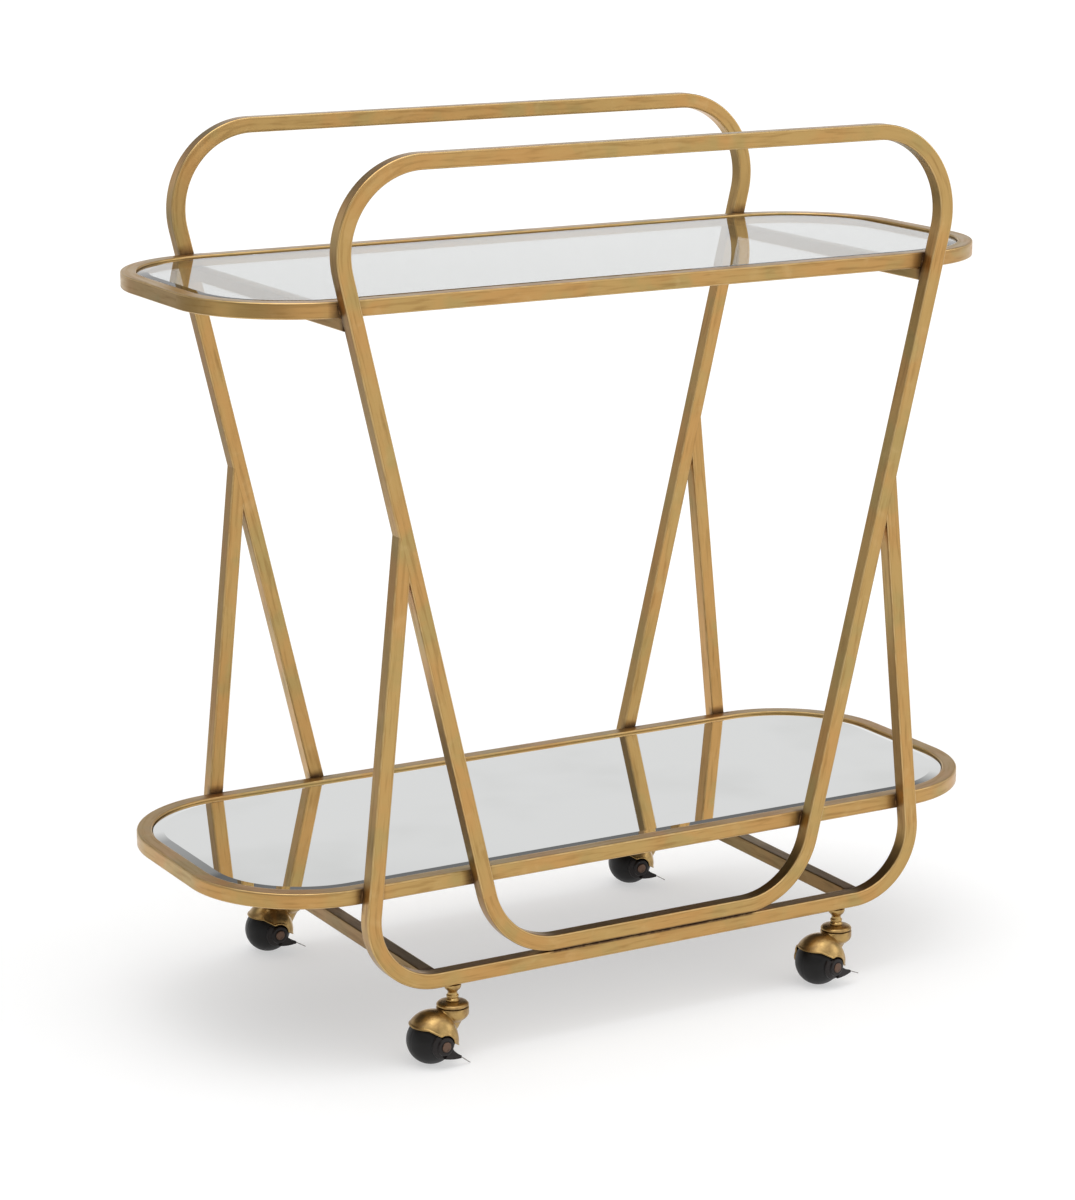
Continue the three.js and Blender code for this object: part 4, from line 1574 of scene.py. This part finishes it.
@dataclass
class Casters:
    """The casters, placed from their joints, each with its brake lifted by its own degrees."""

    shapes: CasterShapes = field(default_factory=CasterShapes)
    lifts: dict[str, float] = field(
        default_factory=lambda: {"front_left": -7.0, "front_right": 8.0, "back_left": 0.0, "back_right": 0.0}
    )

    def place(self, corner: str) -> Matrix:
        """Where one caster stands, and the way its ball trails.

        Args:
            corner: The corner's name.

        Returns:
            The caster's place.
        """
        joints = {joint["name"]: joint for joint in frame["joints"]}
        stem = joints[f"swivel_{corner}"]["pos_m"]
        axis = joints[f"roll_{corner}"]["axis"]
        turn = math.atan2(-axis[0], axis[1])
        return Matrix.Translation((stem[0], stem[1], 0.0)) @ Matrix.Rotation(turn, 4, "Z")

    def build(self) -> None:
        """Builds each shared mesh once and sets it at every corner."""
        shapes = self.shapes
        parts = {
            "caster_stem": (shapes.stem(), CASTER_GOLD, ROOT, 40.0),
            "swivel_cap": (shapes.cap(), CASTER_GOLD, ROOT, 40.0),
            "swivel_bearing": (shapes.race(), RACE_PAINTED_SHADE, ROOT, 40.0),
            "caster_hood": (shapes.hood(), CASTER_GOLD, "caster_{}", 60.0),
            "ball_axle": (shapes.axle(), BRONZE, "caster_{}", 40.0),
            "ball_wheel": (shapes.ball(), BALL_BLACK, "ball_{}", 40.0),
            "brake_lever": (shapes.brake(), BRAKE_BLACK, "brake_{}", 60.0),
            "brake_tab": (shapes.tab(), ZINC, "brake_{}", 40.0),
        }
        for corner, lift in self.lifts.items():
            place = self.place(corner)
            for kind, (mesh, finish, body, sharp) in parts.items():
                piece = shown(mesh.copy(), f"{kind}_{corner}_piece", sharp)
                turned = shapes.lifted(lift) if kind.startswith("brake") else Matrix()
                piece.matrix_world = place @ turned
                dressed(piece, finish, body.format(corner), f"{kind}_{corner}")
            insert = frame["nodes"][f"thread_insert_{corner}"]
            insert.data.materials.clear()
            insert.data.materials.append(ZINC.material())


# -------------------------------------------------------------------------------------- studio
@dataclass(frozen=True)
class Lobe:
    """A patch of the studio's walls that is lighter or darker than the rest."""

    heading: float
    height: float
    width: float
    level: float

    def way(self) -> tuple[float, float, float]:
        """The direction of its middle."""
        flat = math.sqrt(1.0 - self.height ** 2)
        turn = math.radians(self.heading)
        return (flat * math.sin(turn), flat * math.cos(turn), self.height)


@dataclass(frozen=True)
class Lamp:
    """A square soft light: where it hangs, what it points at, its side and its power in watts."""

    name: str
    at: tuple[float, float, float]
    to: tuple[float, float, float]
    size: float
    power: float

    def hang(self) -> None:
        """Hangs the light."""
        data = bpy.data.lights.new(self.name, "AREA")
        data.size = self.size
        data.energy = self.power
        lamp = bpy.data.objects.new(self.name, data)
        lamp.location = self.at
        lamp.rotation_euler = (Vector(self.to) - Vector(self.at)).to_track_quat("-Z", "Y").to_euler()
        bpy.context.scene.collection.objects.link(lamp)


@dataclass
class Studio:
    """The floor, the soft lights and the camera."""

    stand: tuple[float, float, float] = (-1.734, -3.0075, 1.26105)
    heading: float = 29.588
    dip: float = 13.879
    lens: float = 101.5
    floor_radius: float = 1.35
    below: float = 1.0
    levels: Outline = (
        (0.0, 0.80),
        (0.31, 0.77),
        (0.41, 0.15),
        (0.62, 0.22),
        (0.78, 1.3),
        (1.0, 1.5),
    )
    lobes: Sequence[Lobe] = (
        Lobe(30.0, -0.30, 0.42, 1.12),
        Lobe(-45.0, -0.42, 0.52, 0.40),
        Lobe(-120.0, 0.12, 0.5, 0.5),
        Lobe(150.0, 0.22, 0.45, 1.1),
    )
    lamps: Sequence[Lamp] = (
        Lamp("overhead_softbox", (-0.4, -0.3, 2.6), (0.0, 0.0, 0.3), 1.8, 14.0),
        Lamp("right_softbox", (2.4, -1.2, 1.6), (0.0, 0.0, 0.4), 1.2, 9.0),
    )

    def floor(self) -> None:
        """Lays a round pale floor."""
        mesh = turned_mesh("studio_floor", rod_profile(self.floor_radius, -10 * MM, 0.0), 96)
        piece = shown(mesh, "studio_floor")
        piece.data.materials.append(PAPER.material())

    def sky(self) -> None:
        """Paints the studio's walls by height, then each lobe over them."""
        world = bpy.data.worlds.new("studio_walls")
        world.use_nodes = True
        tree = world.node_tree
        nodes, links = tree.nodes, tree.links
        way = nodes.new("ShaderNodeTexCoord").outputs["Generated"]
        parts = nodes.new("ShaderNodeSeparateXYZ")
        links.new(way, parts.inputs[0])
        ramp = nodes.new("ShaderNodeValToRGB")
        links.new(parts.outputs["Z"], ramp.inputs[0])
        for _ in range(len(self.levels) - 1):
            ramp.color_ramp.elements.new(0.5)
        stops = [(0.0, self.below), *((at + 0.001, level) for at, level in self.levels)]
        for element, (at, level) in zip(ramp.color_ramp.elements, stops):
            element.position = at
            element.color = (level, level, level, 1.0)
        colour = ramp.outputs[0]
        for lobe in self.lobes:
            dot = nodes.new("ShaderNodeVectorMath")
            dot.operation = "DOT_PRODUCT"
            dot.inputs[1].default_value = lobe.way()
            links.new(way, dot.inputs[0])
            edge = nodes.new("ShaderNodeMapRange")
            edge.interpolation_type = "SMOOTHSTEP"
            edge.inputs["From Min"].default_value = math.cos(1.35 * lobe.width)
            edge.inputs["From Max"].default_value = math.cos(0.75 * lobe.width)
            links.new(dot.outputs["Value"], edge.inputs["Value"])
            mix = nodes.new("ShaderNodeMix")
            mix.data_type = "RGBA"
            links.new(edge.outputs[0], mix.inputs["Factor"])
            links.new(colour, mix.inputs[6])
            mix.inputs[7].default_value = (lobe.level, lobe.level, lobe.level, 1.0)
            colour = mix.outputs[2]
        links.new(colour, nodes["Background"].inputs[0])
        nodes["Background"].inputs[1].default_value = 1.0
        bpy.context.scene.world = world

    def camera(self) -> None:
        """Sets the camera."""
        data = bpy.data.cameras.new("studio_camera")
        data.sensor_width = 36.0
        data.lens = self.lens
        camera = bpy.data.objects.new("studio_camera", data)
        camera.location = self.stand
        camera.rotation_euler = (math.radians(90 - self.dip), 0.0, math.radians(-self.heading))
        bpy.context.scene.collection.objects.link(camera)
        bpy.context.scene.camera = camera

    def build(self) -> None:
        """Sets up the studio."""
        self.camera()
        self.floor()
        self.sky()
        for lamp in self.lamps:
            lamp.hang()
        bpy.context.scene.view_settings.view_transform = "Standard"


def main() -> None:
    """Builds the studio, the frame, the shelves and the casters."""
    logging.basicConfig(level=logging.INFO, format="%(message)s")
    Studio().build()
    tube_frame = TubeFrame()
    tube_frame.build()
    Shelf("top", "top_glass", GLASS, tube_frame.patches).build()
    Shelf("bottom", "bottom_mirror", SILVER, tube_frame.patches).build()
    Casters().build()


if __name__ == "__main__":
    main()
